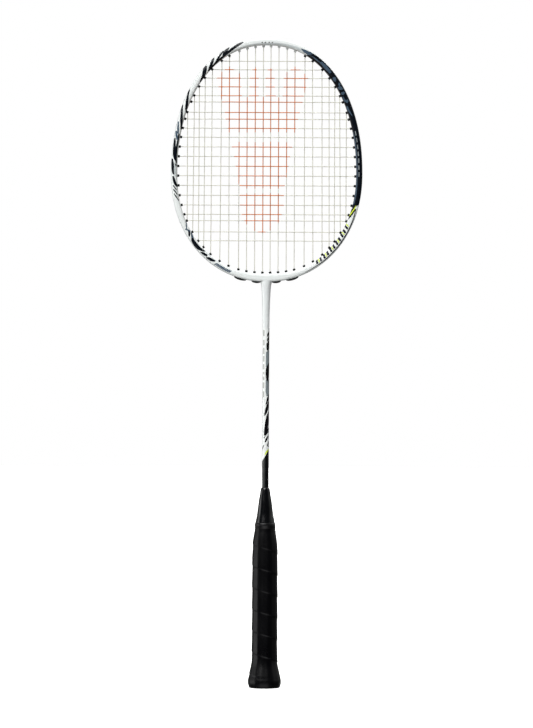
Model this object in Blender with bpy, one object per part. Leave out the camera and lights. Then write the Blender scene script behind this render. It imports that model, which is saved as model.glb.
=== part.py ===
"""Badminton racket, in metres.

+Z runs up the shaft to the head, the string bed lies in the XZ plane and the front looks along -Y.
The origin is the middle of the flat end of the butt.
"""
import math

import bmesh
import bpy
import numpy as np
from mathutils import Vector

# Head outline: two superellipse halves that meet at the widest height
RACKET_LENGTH = 0.675
HEAD_HALF_WIDTH = 0.0995
HEAD_WIDEST_Z = 0.5340
HEAD_DROP = 0.1119
TOP_EXPONENT = 2.16
BOTTOM_EXPONENT = 2.10
OUTLINE_SAMPLES = 7200
RIM_SEGMENTS = 76

# Rim section: widths lie in the string plane, depths along Y
RIM_WIDTH = 0.0065
RIM_EXTRA_TOP = 0.0005
RIM_EXTRA_THROAT = 0.0020
RIM_TOP_POWER = 4
RIM_THROAT_POWER = 20
RIM_HALF_DEPTH = 0.0051
GROOVE_DEPTH = 0.0014
GROOVE_HALF_WIDTH = 0.0022
OUTER_WALL = 0.0010
INNER_WALL = 0.0011
CAVITY_HALF_DEPTH = 0.0039

# String bed: distances of the upright strings from the middle, heights of the level strings
MAINS = (0.0039, 0.0122, 0.0206, 0.0289, 0.0392, 0.0484, 0.0579, 0.0652, 0.0711, 0.0764, 0.0834)
CROSSES = (
    0.6524, 0.6435, 0.6348, 0.6258, 0.6173, 0.6089, 0.6007, 0.5911, 0.5816, 0.5722, 0.5622,
    0.5522, 0.5421, 0.5321, 0.5220, 0.5118, 0.5017, 0.4920, 0.4835, 0.4744, 0.4640,
)
STRING_RADIUS = 0.00034
MAIN_SIDES = 6
CROSS_SIDES = 4
WEAVE_HEIGHT = 0.00083
PAIR_OFFSET = 0.00045
RUN_STEP = 0.0055
TURN_START = 0.00045
TIE_STUB = 0.0018
TIE_STUB_LEAN = 3.0
HOLE_CLEARANCE = 0.0020

# Grommets
BARREL_SIDES = 6
BARREL_RADIUS = 0.00135
BORE_RADIUS = 0.00065
SHARED_BORE_RADIUS = 0.00105
HOLE_RADIUS = 0.00150
TIP_LENGTH = 0.0012
FLANGE_RADIUS = 0.0021
FLANGE_UNDERSIDE = 0.00134
FLANGE_FLOOR = 0.00089
STRIP_HALF_WIDTH = 0.0020
STRIP_OVERHANG = 0.0022
STRIP_STEP = 0.0060
STRING_ABOVE_FLOOR = 0.00039
BEND_ABOVE_FLOOR = 0.00014
CUT_MARGIN = 0.0010

# Throat saddles: twin grommets whose cheeks stand proud of the rim
SADDLE_FLOOR = 0.0005
SADDLE_PROUD = 0.0019
SADDLE_END_PROUD = 0.0002
SADDLE_SHOULDER_DROP = 0.0006
SADDLE_HALF_WIDTH = 0.0020
SADDLE_CHANNEL_HALF = 0.0006
SADDLE_OVERHANG = 0.0019
SADDLE_STATIONS = 7
CENTRE_HOLE_EXIT = 0.0077

# Throat joint between the head and the shaft
JOINT_HALF_LENGTH = 0.0102
JOINT_INSET = (0.00275, 0.00705)
JOINT_HALF_DEPTH = 0.0035
JOINT_CHAMFER = 0.0007
JOINT_HOLE_RADIUS = 0.00165
STEM_RADIUS = 0.00185
STEM_HOLE_RADIUS = 0.00215
STEM_BOTTOM_Z = 0.392
STEM_TOP_Z = 0.4264
SLEEVE_PROFILE = (
    (0.3746, 0.00355), (0.3850, 0.00366), (0.3950, 0.00390), (0.4048, 0.00425),
    (0.4104, 0.00450), (0.4162, 0.00490), (0.4195, 0.00535), (0.4218, 0.00605),
)
SLEEVE_FLAT_POWER = 3
SLEEVE_BORE_RADIUS = 0.0032
SLEEVE_BORE_TOP_Z = 0.4187
TONGUE_HALF = (0.0044, 0.0019)
TONGUE_Z = (0.4190, 0.4233)

# Shaft
SHAFT_RADIUS = 0.00355
SHAFT_TENON_RADIUS = 0.0030
SHAFT_BORE_RADIUS = 0.0021
SHAFT_BOTTOM_Z = 0.080
SHAFT_SHOULDER_Z = 0.3740
SHAFT_TOP_Z = 0.4184

# Handle: half widths of the finished grip against height
GRIP_PROFILE = (
    (0.0079, 0.0173), (0.0131, 0.0162), (0.0183, 0.0151), (0.0235, 0.0140), (0.0287, 0.0134),
    (0.1379, 0.0133), (0.1483, 0.0129), (0.1535, 0.0125), (0.1587, 0.0119), (0.1655, 0.0108),
)
BUTT_EDGE = ((0.0, 0.0145), (0.0015, 0.0162), (0.0045, 0.0172), (0.0079, 0.0173))
GRIP_FLATTENING = 0.94
ROUNDING_Z = (0.150, 0.1655)
CORNER_CUT = 0.22
WRAP_THICKNESS = 0.0016
CORE_GAP = 0.0003
WRAP_PITCH = 0.0225
WRAP_START_Z = 0.0040
WRAP_SEAM_HALF = 0.0006
WRAP_LOW = -0.00020
WRAP_HIGH = 0.00025
WRAP_HELIX_Z = (0.0100, 0.1640)
WRAP_TOP_Z = 0.1712
WRAP_UNDER_TAPE = 0.0099
WRAP_TOP_INNER = 0.0086
WRAP_FOLD_Z = 0.0017
WRAP_FOLD_OPENING = 0.0120
WRAP_FOLD_CORNER = 0.0142
TAPE_Z = (0.1658, 0.1715)
TAPE_OUTER = (0.01075, 0.01035)
TAPE_INNER = 0.01015
CORE_BOTTOM_Z = 0.0020
CORE_BOTTOM_HALF = 0.0139
CORE_SHOULDER = (0.1710, 0.0083)
CORE_TENON = ((0.1722, 0.0072), (0.1830, 0.0052))
HANDLE_BORE_RADIUS = 0.00385
HANDLE_BORE_Z = 0.0795
CAP_HALF = 0.0117
CAP_CHAMFER = 0.0004
CAP_THICKNESS = 0.0017
CAP_SHANK_RADIUS = 0.0040
CAP_SHANK_TOP_Z = 0.0142
SHANK_HOLE_RADIUS = 0.0043
SHANK_HOLE_TOP_Z = 0.0147
CONE_PROFILE = (
    (0.1718, 0.0100), (0.1743, 0.0096), (0.1795, 0.0086), (0.1847, 0.0079), (0.1899, 0.0073),
    (0.1951, 0.0066), (0.2003, 0.0057), (0.2055, 0.0049), (0.2080, 0.0042),
)
CONE_CAVITY = ((0.1718, 0.0077), (0.1840, 0.0056))
ROUND_SIDES = 16
SHAFT_SIDES = 18
CONE_SIDES = 20

ROOT_NAME = "badminton_racket"
SHARP_ANGLE = math.radians(35)


# ---------------------------------------------------------------- materials

def make_material(name, color, roughness, metallic=0.0, coat=0.0):
    material = bpy.data.materials.new(name)
    material.use_nodes = True
    shader = material.node_tree.nodes["Principled BSDF"]
    shader.inputs["Base Color"].default_value = (*color, 1.0)
    shader.inputs["Roughness"].default_value = roughness
    shader.inputs["Metallic"].default_value = metallic
    shader.inputs["Coat Weight"].default_value = coat
    return material


def make_materials():
    return {
        "frame": make_material("painted_graphite_pearl", (0.80, 0.82, 0.82), 0.25, coat=0.6),
        "joint": make_material("joint_composite", (0.06, 0.06, 0.07), 0.5),
        "sleeve": make_material("painted_sleeve_white", (0.84, 0.85, 0.85), 0.25, coat=0.6),
        "shaft": make_material("painted_graphite_shaft", (0.82, 0.83, 0.83), 0.22, coat=0.7),
        "cone": make_material("black_gloss_plastic", (0.012, 0.012, 0.014), 0.18, coat=0.5),
        "core": make_material("pale_hardwood", (0.55, 0.36, 0.19), 0.6),
        "cap": make_material("black_moulded_plastic", (0.02, 0.02, 0.022), 0.4),
        "wrap": make_material("black_polyurethane_grip", (0.018, 0.018, 0.020), 0.7),
        "tape": make_material("black_vinyl_tape", (0.015, 0.015, 0.017), 0.35),
        "string": make_material("nylon_string", (0.82, 0.83, 0.80), 0.35),
        "grommet": make_material("black_nylon_grommet", (0.015, 0.015, 0.017), 0.45),
    }


# ---------------------------------------------------------------- mesh helpers

def mesh_object(name, verts, faces, material=None):
    """An object with its origin in the middle of its own box, on the racket's root."""
    verts = [Vector(point) for point in verts]
    low = Vector([min(point[axis] for point in verts) for axis in range(3)])
    high = Vector([max(point[axis] for point in verts) for axis in range(3)])
    centre = (low + high) / 2
    mesh = bpy.data.meshes.new(name)
    mesh.from_pydata([point - centre for point in verts], [], faces)
    builder = bmesh.new()
    builder.from_mesh(mesh)
    bmesh.ops.recalc_face_normals(builder, faces=builder.faces)
    builder.to_mesh(mesh)
    builder.free()
    mesh.shade_smooth()
    mesh.set_sharp_from_angle(angle=SHARP_ANGLE)
    obj = bpy.data.objects.new(name, mesh)
    obj.location = centre
    obj.parent = bpy.data.objects[ROOT_NAME]
    bpy.context.scene.collection.objects.link(obj)
    if material is not None:
        mesh.materials.append(material)
    return obj


def loft_faces(ring_count, sides, closed):
    """Quads between rings; open lofts get a flat face at each end."""
    faces = []
    last = ring_count if closed else ring_count - 1
    for ring in range(last):
        start = ring * sides
        following = ((ring + 1) % ring_count) * sides
        for side in range(sides):
            other = (side + 1) % sides
            faces.append((start + side, start + other, following + other, following + side))
    if not closed:
        faces.append(tuple(range(sides)))
        faces.append(tuple(range((ring_count - 1) * sides, ring_count * sides)))
    return faces


def loft(name, rings, closed, material=None):
    verts = [point for ring in rings for point in ring]
    return mesh_object(name, verts, loft_faces(len(rings), len(rings[0]), closed), material)


def joined_lofts(name, lofts):
    """One mesh holding several separate open lofts, used as a cutter."""
    verts = []
    faces = []
    for rings in lofts:
        offset = len(verts)
        verts.extend(point for ring in rings for point in ring)
        for face in loft_faces(len(rings), len(rings[0]), False):
            faces.append(tuple(offset + index for index in face))
    return mesh_object(name, verts, faces)


def hide_helper(obj):
    obj.hide_render = True
    obj.display_type = 'WIRE'


def add_boolean(obj, helper, operation):
    modifier = obj.modifiers.new(helper.name, 'BOOLEAN')
    modifier.operation = operation
    modifier.solver = 'EXACT'
    modifier.object = helper
    hide_helper(helper)


# ---------------------------------------------------------------- rim path

def outline_xz(angle):
    """Outer edge of the head at an angle measured as on an ellipse."""
    across = math.cos(angle)
    up = math.sin(angle)
    power = 2.0 / (TOP_EXPONENT if up >= 0 else BOTTOM_EXPONENT)
    reach = (RACKET_LENGTH - HEAD_WIDEST_Z) if up >= 0 else HEAD_DROP
    x = HEAD_HALF_WIDTH * math.copysign(abs(across) ** power, across)
    z = HEAD_WIDEST_Z + reach * math.copysign(abs(up) ** power, up)
    return x, z


def rim_width(z):
    height = np.asarray(z, dtype=float) - HEAD_WIDEST_Z
    above = np.clip(height / (RACKET_LENGTH - HEAD_WIDEST_Z), 0.0, 1.0)
    below = np.clip(-height / HEAD_DROP, 0.0, 1.0)
    extra = RIM_EXTRA_TOP * above ** RIM_TOP_POWER
    return RIM_WIDTH + extra + RIM_EXTRA_THROAT * below ** RIM_THROAT_POWER


def make_rim_table():
    """Arc length, position and outward normal along the outline, clockwise from the top."""
    angles = np.linspace(0.5 * math.pi, -1.5 * math.pi, OUTLINE_SAMPLES + 1)
    points = np.array([outline_xz(angle) for angle in angles])
    points[0, 0] = 0.0
    points[-1] = points[0]
    steps = np.hypot(*np.diff(points, axis=0).T)
    length = np.concatenate(([0.0], np.cumsum(steps)))
    chords = np.roll(points[:-1], -1, axis=0) - np.roll(points[:-1], 1, axis=0)
    chords = np.vstack((chords, chords[:1]))
    chords /= np.hypot(chords[:, 0], chords[:, 1])[:, None]
    return {
        "s": length, "x": points[:, 0], "z": points[:, 1],
        "nx": -chords[:, 1], "nz": chords[:, 0],
    }


RIM = make_rim_table()
RIM_LENGTH = float(RIM["s"][-1])


def rim_values(s):
    s = s % RIM_LENGTH
    return [float(np.interp(s, RIM["s"], RIM[key])) for key in ("x", "z", "nx", "nz")]


def rim_point(s, inset, y):
    """A point a given distance inside the outline, at arc length s."""
    x, z, nx, nz = rim_values(s)
    return Vector((x - nx * inset, y, z - nz * inset))


def tip_loop():
    """Right half of the loop through the grommets' inner ends."""
    half = OUTLINE_SAMPLES // 2 + 1
    reach = rim_width(RIM["z"][:half]) + TIP_LENGTH
    x = RIM["x"][:half] - RIM["nx"][:half] * reach
    z = RIM["z"][:half] - RIM["nz"][:half] * reach
    return RIM["s"][:half], x, z


TIP_S, TIP_X, TIP_Z = tip_loop()
TIP_WIDEST = int(np.argmax(TIP_X))


def s_at_top(x):
    return float(np.interp(x, TIP_X[:TIP_WIDEST], TIP_S[:TIP_WIDEST]))


def s_at_bottom(x):
    return float(np.interp(-x, -TIP_X[TIP_WIDEST:], TIP_S[TIP_WIDEST:]))


def s_at_height(z):
    return float(np.interp(-z, -TIP_Z, TIP_S))


def s_of_outline_bottom(x):
    half = OUTLINE_SAMPLES // 2 + 1
    widest = int(np.argmax(RIM["x"][:half]))
    return float(np.interp(-x, -RIM["x"][widest:half], RIM["s"][widest:half]))


# ---------------------------------------------------------------- string holes

def make_hole(s, side, bore, floor=FLANGE_FLOOR):
    """A hole along the rim's normal; side is +1 on the right and -1 on the left."""
    place = s if side > 0 else RIM_LENGTH - s
    outer = rim_point(place, 0.0, 0.0)
    depth = float(rim_width(outer.z)) + TIP_LENGTH
    inward = (rim_point(place, depth, 0.0) - outer).normalized()
    return {"s": place, "outer": outer, "inward": inward, "tip": depth, "bore": bore, "floor": floor}


def make_centre_hole(side):
    """The slanted throat hole that lets a centre string out beside the shaft joint."""
    exit_s = s_of_outline_bottom(CENTRE_HOLE_EXIT)
    tip_s = s_at_bottom(MAINS[0])
    place = exit_s if side > 0 else RIM_LENGTH - exit_s
    tip_place = tip_s if side > 0 else RIM_LENGTH - tip_s
    outer = rim_point(place, 0.0, 0.0)
    reach = float(rim_width(rim_point(tip_place, 0.0, 0.0).z)) + TIP_LENGTH
    path = rim_point(tip_place, reach, 0.0) - outer
    return {
        "s": place, "outer": outer, "inward": path.normalized(), "tip": path.length,
        "bore": BORE_RADIUS, "floor": SADDLE_FLOOR,
    }


def mean(*values):
    return sum(values) / len(values)


def side_holes(side):
    """All holes on one side, keyed by the string that uses them first."""
    holes = {}
    for main in range(1, 6):
        bore = SHARED_BORE_RADIUS if main == 5 else BORE_RADIUS
        holes[f"top_m{main}"] = make_hole(s_at_top(MAINS[main - 1]), side, bore)
    for main, cross in ((6, 1), (7, 2), (8, 3), (9, 4), (10, 5), (11, 7)):
        s = mean(s_at_top(MAINS[main - 1]), s_at_height(CROSSES[cross - 1]))
        holes[f"top_m{main}"] = make_hole(s, side, SHARED_BORE_RADIUS)
    holes["c6"] = make_hole(s_at_height(CROSSES[5]), side, SHARED_BORE_RADIUS)
    for cross in range(8, 19):
        bore = SHARED_BORE_RADIUS if cross == 18 else BORE_RADIUS
        holes[f"c{cross}"] = make_hole(s_at_height(CROSSES[cross - 1]), side, bore)
    for main, cross in ((11, 19), (10, 20), (9, 21)):
        s = mean(s_at_bottom(MAINS[main - 1]), s_at_height(CROSSES[cross - 1]))
        holes[f"bottom_m{main}"] = make_hole(s, side, SHARED_BORE_RADIUS)
    for main in (8, 7, 6, 5):
        bore = SHARED_BORE_RADIUS if main == 8 else BORE_RADIUS
        holes[f"bottom_m{main}"] = make_hole(s_at_bottom(MAINS[main - 1]), side, bore)
    for main in (4, 3, 2):
        s = s_at_bottom(MAINS[main - 1])
        holes[f"bottom_m{main}"] = make_hole(s, side, BORE_RADIUS, SADDLE_FLOOR)
    holes["bottom_m1"] = make_centre_hole(side)
    return holes


HOLES = {"R": side_holes(1), "L": side_holes(-1)}
SHARED_CROSS_HOLES = {
    1: "top_m6", 2: "top_m7", 3: "top_m8", 4: "top_m9", 5: "top_m10", 7: "top_m11",
    19: "bottom_m11", 20: "bottom_m10", 21: "bottom_m9",
}
UPPER_STRIP = ("top_m6", "top_m7", "top_m8", "top_m9", "top_m10", "c6", "top_m11")
LOWER_STRIP = (
    "bottom_m11", "bottom_m10", "bottom_m9", "bottom_m8", "bottom_m7", "bottom_m6", "bottom_m5",
)


def hole_point(hole, depth, y=0.0):
    return hole["outer"] + hole["inward"] * depth + Vector((0.0, y, 0.0))


def hole_ring(hole, depth, radius, sides=BARREL_SIDES):
    """A ring of points round a hole's axis; every ring on one hole has the same corners."""
    centre = hole_point(hole, depth)
    across = Vector((0.0, 1.0, 0.0))
    along = hole["inward"].cross(across)
    ring = []
    for side in range(sides):
        angle = 2 * math.pi * side / sides
        ring.append(centre + (across * math.cos(angle) + along * math.sin(angle)) * radius)
    return ring


# ---------------------------------------------------------------- head frame

def frame_section(width):
    """Outer section of the rim as (inset, y) pairs, with the string groove outside."""
    half = (
        (GROOVE_DEPTH, GROOVE_HALF_WIDTH),
        (0.0, GROOVE_HALF_WIDTH + 0.0003),
        (0.00035, 0.76 * RIM_HALF_DEPTH),
        (0.0016, 0.95 * RIM_HALF_DEPTH),
        (0.5 * width, RIM_HALF_DEPTH),
        (width - 0.0014, 0.92 * RIM_HALF_DEPTH),
        (width, 0.40 * RIM_HALF_DEPTH),
    )
    return list(half) + [(inset, -y) for inset, y in reversed(half)]


def cavity_section(width):
    inner = width - INNER_WALL
    outer = GROOVE_DEPTH + OUTER_WALL
    half = (
        (outer, 0.68 * CAVITY_HALF_DEPTH),
        (outer + 0.0007, CAVITY_HALF_DEPTH),
        (inner - 0.0008, CAVITY_HALF_DEPTH),
        (inner, 0.66 * CAVITY_HALF_DEPTH),
    )
    return list(half) + [(inset, -y) for inset, y in reversed(half)]


def rim_ring(s, section):
    return [rim_point(s, inset, y) for inset, y in section]


def swept_rim(name, section_at, material=None):
    rings = []
    for segment in range(RIM_SEGMENTS):
        s = RIM_LENGTH * segment / RIM_SEGMENTS
        width = float(rim_width(rim_values(s)[1]))
        rings.append(rim_ring(s, section_at(width)))
    return loft(name, rings, True, material)


def vertical_cylinder(radius, bottom, top, sides=12):
    rings = []
    for z in (bottom, top):
        ring = []
        for side in range(sides):
            angle = 2 * math.pi * (side + 0.5) / sides
            ring.append(Vector((radius * math.cos(angle), radius * math.sin(angle), z)))
        rings.append(ring)
    return rings


def build_head_frame(materials):
    frame = swept_rim("head_frame", frame_section, materials["frame"])
    cavity = swept_rim("head_frame_cavity_cutter", cavity_section)
    add_boolean(frame, cavity, 'DIFFERENCE')
    cuts = [vertical_cylinder(STEM_HOLE_RADIUS, SLEEVE_BORE_TOP_Z, STEM_TOP_Z)]
    for side in ("L", "R"):
        for hole in HOLES[side].values():
            cuts.append([
                hole_ring(hole, -CUT_MARGIN, HOLE_RADIUS),
                hole_ring(hole, hole["tip"], HOLE_RADIUS),
            ])
    add_boolean(frame, joined_lofts("head_frame_hole_cutter", cuts), 'DIFFERENCE')


# ---------------------------------------------------------------- throat joint, sleeve and shaft

def build_t_joint(materials):
    near, far = JOINT_INSET
    half = (
        (near, JOINT_HALF_DEPTH - JOINT_CHAMFER),
        (near + JOINT_CHAMFER, JOINT_HALF_DEPTH),
        (far - JOINT_CHAMFER, JOINT_HALF_DEPTH),
        (far, JOINT_HALF_DEPTH - JOINT_CHAMFER),
    )
    section = list(half) + [(inset, -y) for inset, y in reversed(half)]
    bottom = 0.5 * RIM_LENGTH
    steps = np.linspace(-JOINT_HALF_LENGTH, JOINT_HALF_LENGTH, 5)
    joint = loft("t_joint", [rim_ring(bottom + step, section) for step in steps], False, materials["joint"])
    stem = joined_lofts("t_joint_stem", [vertical_cylinder(STEM_RADIUS, STEM_BOTTOM_Z, STEM_TOP_Z)])
    add_boolean(joint, stem, 'UNION')
    cuts = []
    for side in ("L", "R"):
        hole = HOLES[side]["bottom_m1"]
        cuts.append([
            hole_ring(hole, 0.0, JOINT_HOLE_RADIUS),
            hole_ring(hole, hole["tip"], JOINT_HOLE_RADIUS),
        ])
    add_boolean(joint, joined_lofts("t_joint_hole_cutter", cuts), 'DIFFERENCE')


def round_ring(z, half_x, half_y=None, sides=ROUND_SIDES):
    half_y = half_x if half_y is None else half_y
    ring = []
    for side in range(sides):
        angle = 2 * math.pi * (side + 0.5) / sides
        ring.append(Vector((half_x * math.cos(angle), half_y * math.sin(angle), z)))
    return ring


def sleeve_half_depth(z, radius):
    """The sleeve's depth meets the rim's depth at the top and the shaft's radius below."""
    bottom = SLEEVE_PROFILE[0][0]
    top = SLEEVE_PROFILE[-1][0]
    share = ((z - bottom) / (top - bottom)) ** SLEEVE_FLAT_POWER
    return radius + (RIM_HALF_DEPTH - SLEEVE_PROFILE[-1][1]) * share


def box_rings(half_x, half_y, bottom, top):
    corners = ((half_x, half_y), (-half_x, half_y), (-half_x, -half_y), (half_x, -half_y))
    return [[Vector((x, y, z)) for x, y in corners] for z in (bottom, top)]


def build_throat_sleeve(materials):
    rings = [round_ring(z, radius, sleeve_half_depth(z, radius)) for z, radius in SLEEVE_PROFILE]
    sleeve = loft("throat_sleeve", rings, False, materials["sleeve"])
    tongue = joined_lofts("throat_sleeve_tongue", [box_rings(*TONGUE_HALF, *TONGUE_Z)])
    add_boolean(sleeve, tongue, 'UNION')
    bottom = SLEEVE_PROFILE[0][0] - CUT_MARGIN
    top = TONGUE_Z[1] + CUT_MARGIN
    bore = [
        round_ring(bottom, SLEEVE_BORE_RADIUS), round_ring(SLEEVE_BORE_TOP_Z, SLEEVE_BORE_RADIUS),
        round_ring(SLEEVE_BORE_TOP_Z, STEM_HOLE_RADIUS), round_ring(top, STEM_HOLE_RADIUS),
    ]
    add_boolean(sleeve, joined_lofts("throat_sleeve_bore_cutter", [bore]), 'DIFFERENCE')


def build_shaft(materials):
    profile = (
        (SHAFT_BOTTOM_Z, SHAFT_RADIUS), (SHAFT_SHOULDER_Z, SHAFT_RADIUS),
        (SHAFT_SHOULDER_Z, SHAFT_TENON_RADIUS), (SHAFT_TOP_Z, SHAFT_TENON_RADIUS),
        (SHAFT_TOP_Z, SHAFT_BORE_RADIUS), (SHAFT_BOTTOM_Z, SHAFT_BORE_RADIUS),
    )
    rings = [round_ring(z, radius, sides=SHAFT_SIDES) for z, radius in profile]
    loft("shaft", rings, True, materials["shaft"])


# ---------------------------------------------------------------- handle

def octagon_ring(half_x, half_y):
    """Sixteen points: an octagon with each corner cut off."""
    slant = math.tan(math.pi / 8)
    corners = []
    for x, y in ((1, slant), (slant, 1), (-slant, 1), (-1, slant)):
        corners.append((x * half_x, y * half_y))
    corners += [(-x, -y) for x, y in corners]
    points = []
    for index, (x, y) in enumerate(corners):
        for other in (index - 1, (index + 1) % len(corners)):
            ox, oy = corners[other]
            points.append((x + (ox - x) * CORNER_CUT, y + (oy - y) * CORNER_CUT))
    return points


def grip_section(z, half):
    """Octagonal over the hand's length, turning round towards the top of the handle."""
    blend = float(np.interp(z, ROUNDING_Z, (0.0, 1.0)))
    half_y = half * (GRIP_FLATTENING + (1.0 - GRIP_FLATTENING) * blend)
    ring = []
    for index, (x, y) in enumerate(octagon_ring(half, half_y)):
        angle = math.pi / 8 * (index + 0.5)
        rx = half * math.cos(angle)
        ry = half_y * math.sin(angle)
        ring.append(Vector((x + (rx - x) * blend, y + (ry - y) * blend, z)))
    return ring


def grip_half(z):
    heights = [row[0] for row in BUTT_EDGE[:-1] + GRIP_PROFILE]
    halves = [row[1] for row in BUTT_EDGE[:-1] + GRIP_PROFILE]
    return float(np.interp(z, heights, halves))


def under_wrap_rings(offset):
    """Rings inside the grip, a given distance in from its finished surface, from the butt up."""
    heights = (0.0030, 0.0055, 0.0082, 0.0131, 0.0287, 0.1379, 0.1483, 0.1587, 0.1640)
    return [grip_section(z, grip_half(z) - offset) for z in heights]


def build_handle_core(materials):
    rings = [
        round_ring(SHANK_HOLE_TOP_Z, SHANK_HOLE_RADIUS), round_ring(CORE_BOTTOM_Z, SHANK_HOLE_RADIUS),
        grip_section(CORE_BOTTOM_Z, CORE_BOTTOM_HALF),
    ]
    rings += under_wrap_rings(WRAP_THICKNESS + CORE_GAP)
    rings.append(round_ring(*CORE_SHOULDER))
    rings += [round_ring(z, radius) for z, radius in CORE_TENON]
    rings += [
        round_ring(CORE_TENON[-1][0], HANDLE_BORE_RADIUS), round_ring(HANDLE_BORE_Z, HANDLE_BORE_RADIUS),
    ]
    loft("handle_core", rings, False, materials["core"])


def wrap_column(index, sides):
    """Heights and swellings up one line of the wound grip; the seams step down round the handle."""
    column = []
    first = WRAP_START_Z - WRAP_PITCH * index / sides
    for turn in range(-1, 10):
        seam = first + turn * WRAP_PITCH
        rows = (
            (seam - WRAP_SEAM_HALF, WRAP_LOW), (seam + WRAP_SEAM_HALF, WRAP_HIGH),
            (seam + 0.5 * WRAP_PITCH, 0.0),
        )
        column += [row for row in rows if WRAP_HELIX_Z[0] < row[0] < WRAP_HELIX_Z[1]]
    return column


def zip_columns(left, right, left_keys, right_keys):
    """Triangles between two upright lines of points, stepping up whichever is behind."""
    faces = []
    i = 0
    j = 0
    while i < len(left) - 1 or j < len(right) - 1:
        step_left = j == len(right) - 1 or (i < len(left) - 1 and left_keys[i + 1] <= right_keys[j + 1])
        if step_left:
            faces.append((left[i], left[i + 1], right[j]))
            i += 1
        else:
            faces.append((left[i], right[j + 1], right[j]))
            j += 1
    return faces


def build_grip_wrap(materials):
    rings = [grip_section(*GRIP_PROFILE[-1]), round_ring(GRIP_PROFILE[-1][0], WRAP_UNDER_TAPE)]
    rings += [round_ring(WRAP_TOP_Z, WRAP_UNDER_TAPE), round_ring(WRAP_TOP_Z, WRAP_TOP_INNER)]
    rings += reversed(under_wrap_rings(WRAP_THICKNESS))
    rings += [grip_section(WRAP_FOLD_Z, WRAP_FOLD_CORNER), grip_section(WRAP_FOLD_Z, WRAP_FOLD_OPENING)]
    rings.append(grip_section(0.0, WRAP_FOLD_OPENING))
    rings += [grip_section(z, half) for z, half in BUTT_EDGE]
    sides = len(rings[0])
    verts = [point for ring in rings for point in ring]
    faces = loft_faces(len(rings), sides, False)[:-2]
    columns = []
    keys = []
    for index in range(sides):
        rows = wrap_column(index, sides)
        column = [(len(rings) - 1) * sides + index]
        for z, swelling in rows:
            column.append(len(verts))
            verts.append(grip_section(z, grip_half(z) + swelling)[index])
        column.append(index)
        columns.append(column)
        keys.append([BUTT_EDGE[-1][0]] + [row[0] for row in rows] + [GRIP_PROFILE[-1][0]])
    for index in range(sides):
        other = (index + 1) % sides
        shift = WRAP_PITCH / sides
        other_keys = [key + shift for key in keys[other]]
        faces += zip_columns(columns[index], columns[other], keys[index], other_keys)
    mesh_object("grip_wrap", verts, faces, materials["wrap"])


def build_grip_finishing_tape(materials):
    bottom, top = TAPE_Z
    rings = [
        round_ring(bottom, TAPE_OUTER[0], sides=CONE_SIDES), round_ring(top, TAPE_OUTER[1], sides=CONE_SIDES),
        round_ring(top, TAPE_INNER, sides=CONE_SIDES), round_ring(bottom, TAPE_INNER, sides=CONE_SIDES),
    ]
    loft("grip_finishing_tape", rings, True, materials["tape"])


def build_butt_cap(materials):
    rings = [
        grip_section(0.0, CAP_HALF - CAP_CHAMFER), grip_section(CAP_CHAMFER, CAP_HALF),
        grip_section(CAP_THICKNESS, CAP_HALF), round_ring(CAP_THICKNESS, CAP_SHANK_RADIUS),
        round_ring(CAP_SHANK_TOP_Z, CAP_SHANK_RADIUS),
    ]
    loft("butt_cap", rings, False, materials["cap"])


def build_cone_cap(materials):
    rings = [round_ring(z, radius, sides=CONE_SIDES) for z, radius in CONE_PROFILE]
    rings.append(round_ring(CONE_PROFILE[-1][0], HANDLE_BORE_RADIUS, sides=CONE_SIDES))
    rings.append(round_ring(CONE_CAVITY[1][0], HANDLE_BORE_RADIUS, sides=CONE_SIDES))
    rings += [round_ring(z, radius, sides=CONE_SIDES) for z, radius in reversed(CONE_CAVITY)]
    loft("cone_cap", rings, True, materials["cone"])


# ---------------------------------------------------------------- grommets and saddles

def build_single_grommet(name, hole, material):
    profile = (
        (hole["tip"], hole["bore"]), (hole["tip"], BARREL_RADIUS), (FLANGE_UNDERSIDE, BARREL_RADIUS),
        (FLANGE_UNDERSIDE, FLANGE_RADIUS), (FLANGE_FLOOR, FLANGE_RADIUS), (FLANGE_FLOOR, hole["bore"]),
    )
    loft(name, [hole_ring(hole, depth, radius) for depth, radius in profile], True, material)


def barrel_rings(hole, start):
    return [hole_ring(hole, start, BARREL_RADIUS), hole_ring(hole, hole["tip"], BARREL_RADIUS)]


def bore_rings(hole):
    return [
        hole_ring(hole, -CUT_MARGIN + hole["floor"] - FLANGE_FLOOR, hole["bore"]),
        hole_ring(hole, hole["tip"] + CUT_MARGIN, hole["bore"]),
    ]


def span_of(holes, overhang):
    places = [hole["s"] for hole in holes]
    return min(places) - overhang, max(places) + overhang


def add_barrels(bar, holes, start):
    name = bar.name
    add_boolean(bar, joined_lofts(name + "_barrels", [barrel_rings(hole, start) for hole in holes]), 'UNION')
    add_boolean(bar, joined_lofts(name + "_bore_cutter", [bore_rings(hole) for hole in holes]), 'DIFFERENCE')


def build_grommet_strip(name, holes, material):
    section = (
        (FLANGE_UNDERSIDE, STRIP_HALF_WIDTH), (FLANGE_FLOOR, STRIP_HALF_WIDTH),
        (FLANGE_FLOOR, -STRIP_HALF_WIDTH), (FLANGE_UNDERSIDE, -STRIP_HALF_WIDTH),
    )
    start, end = span_of(holes, STRIP_OVERHANG)
    places = np.linspace(start, end, 1 + int(round((end - start) / STRIP_STEP)))
    bar = loft(name, [rim_ring(s, section) for s in places], False, material)
    add_barrels(bar, holes, mean(FLANGE_UNDERSIDE, FLANGE_FLOOR))


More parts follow.
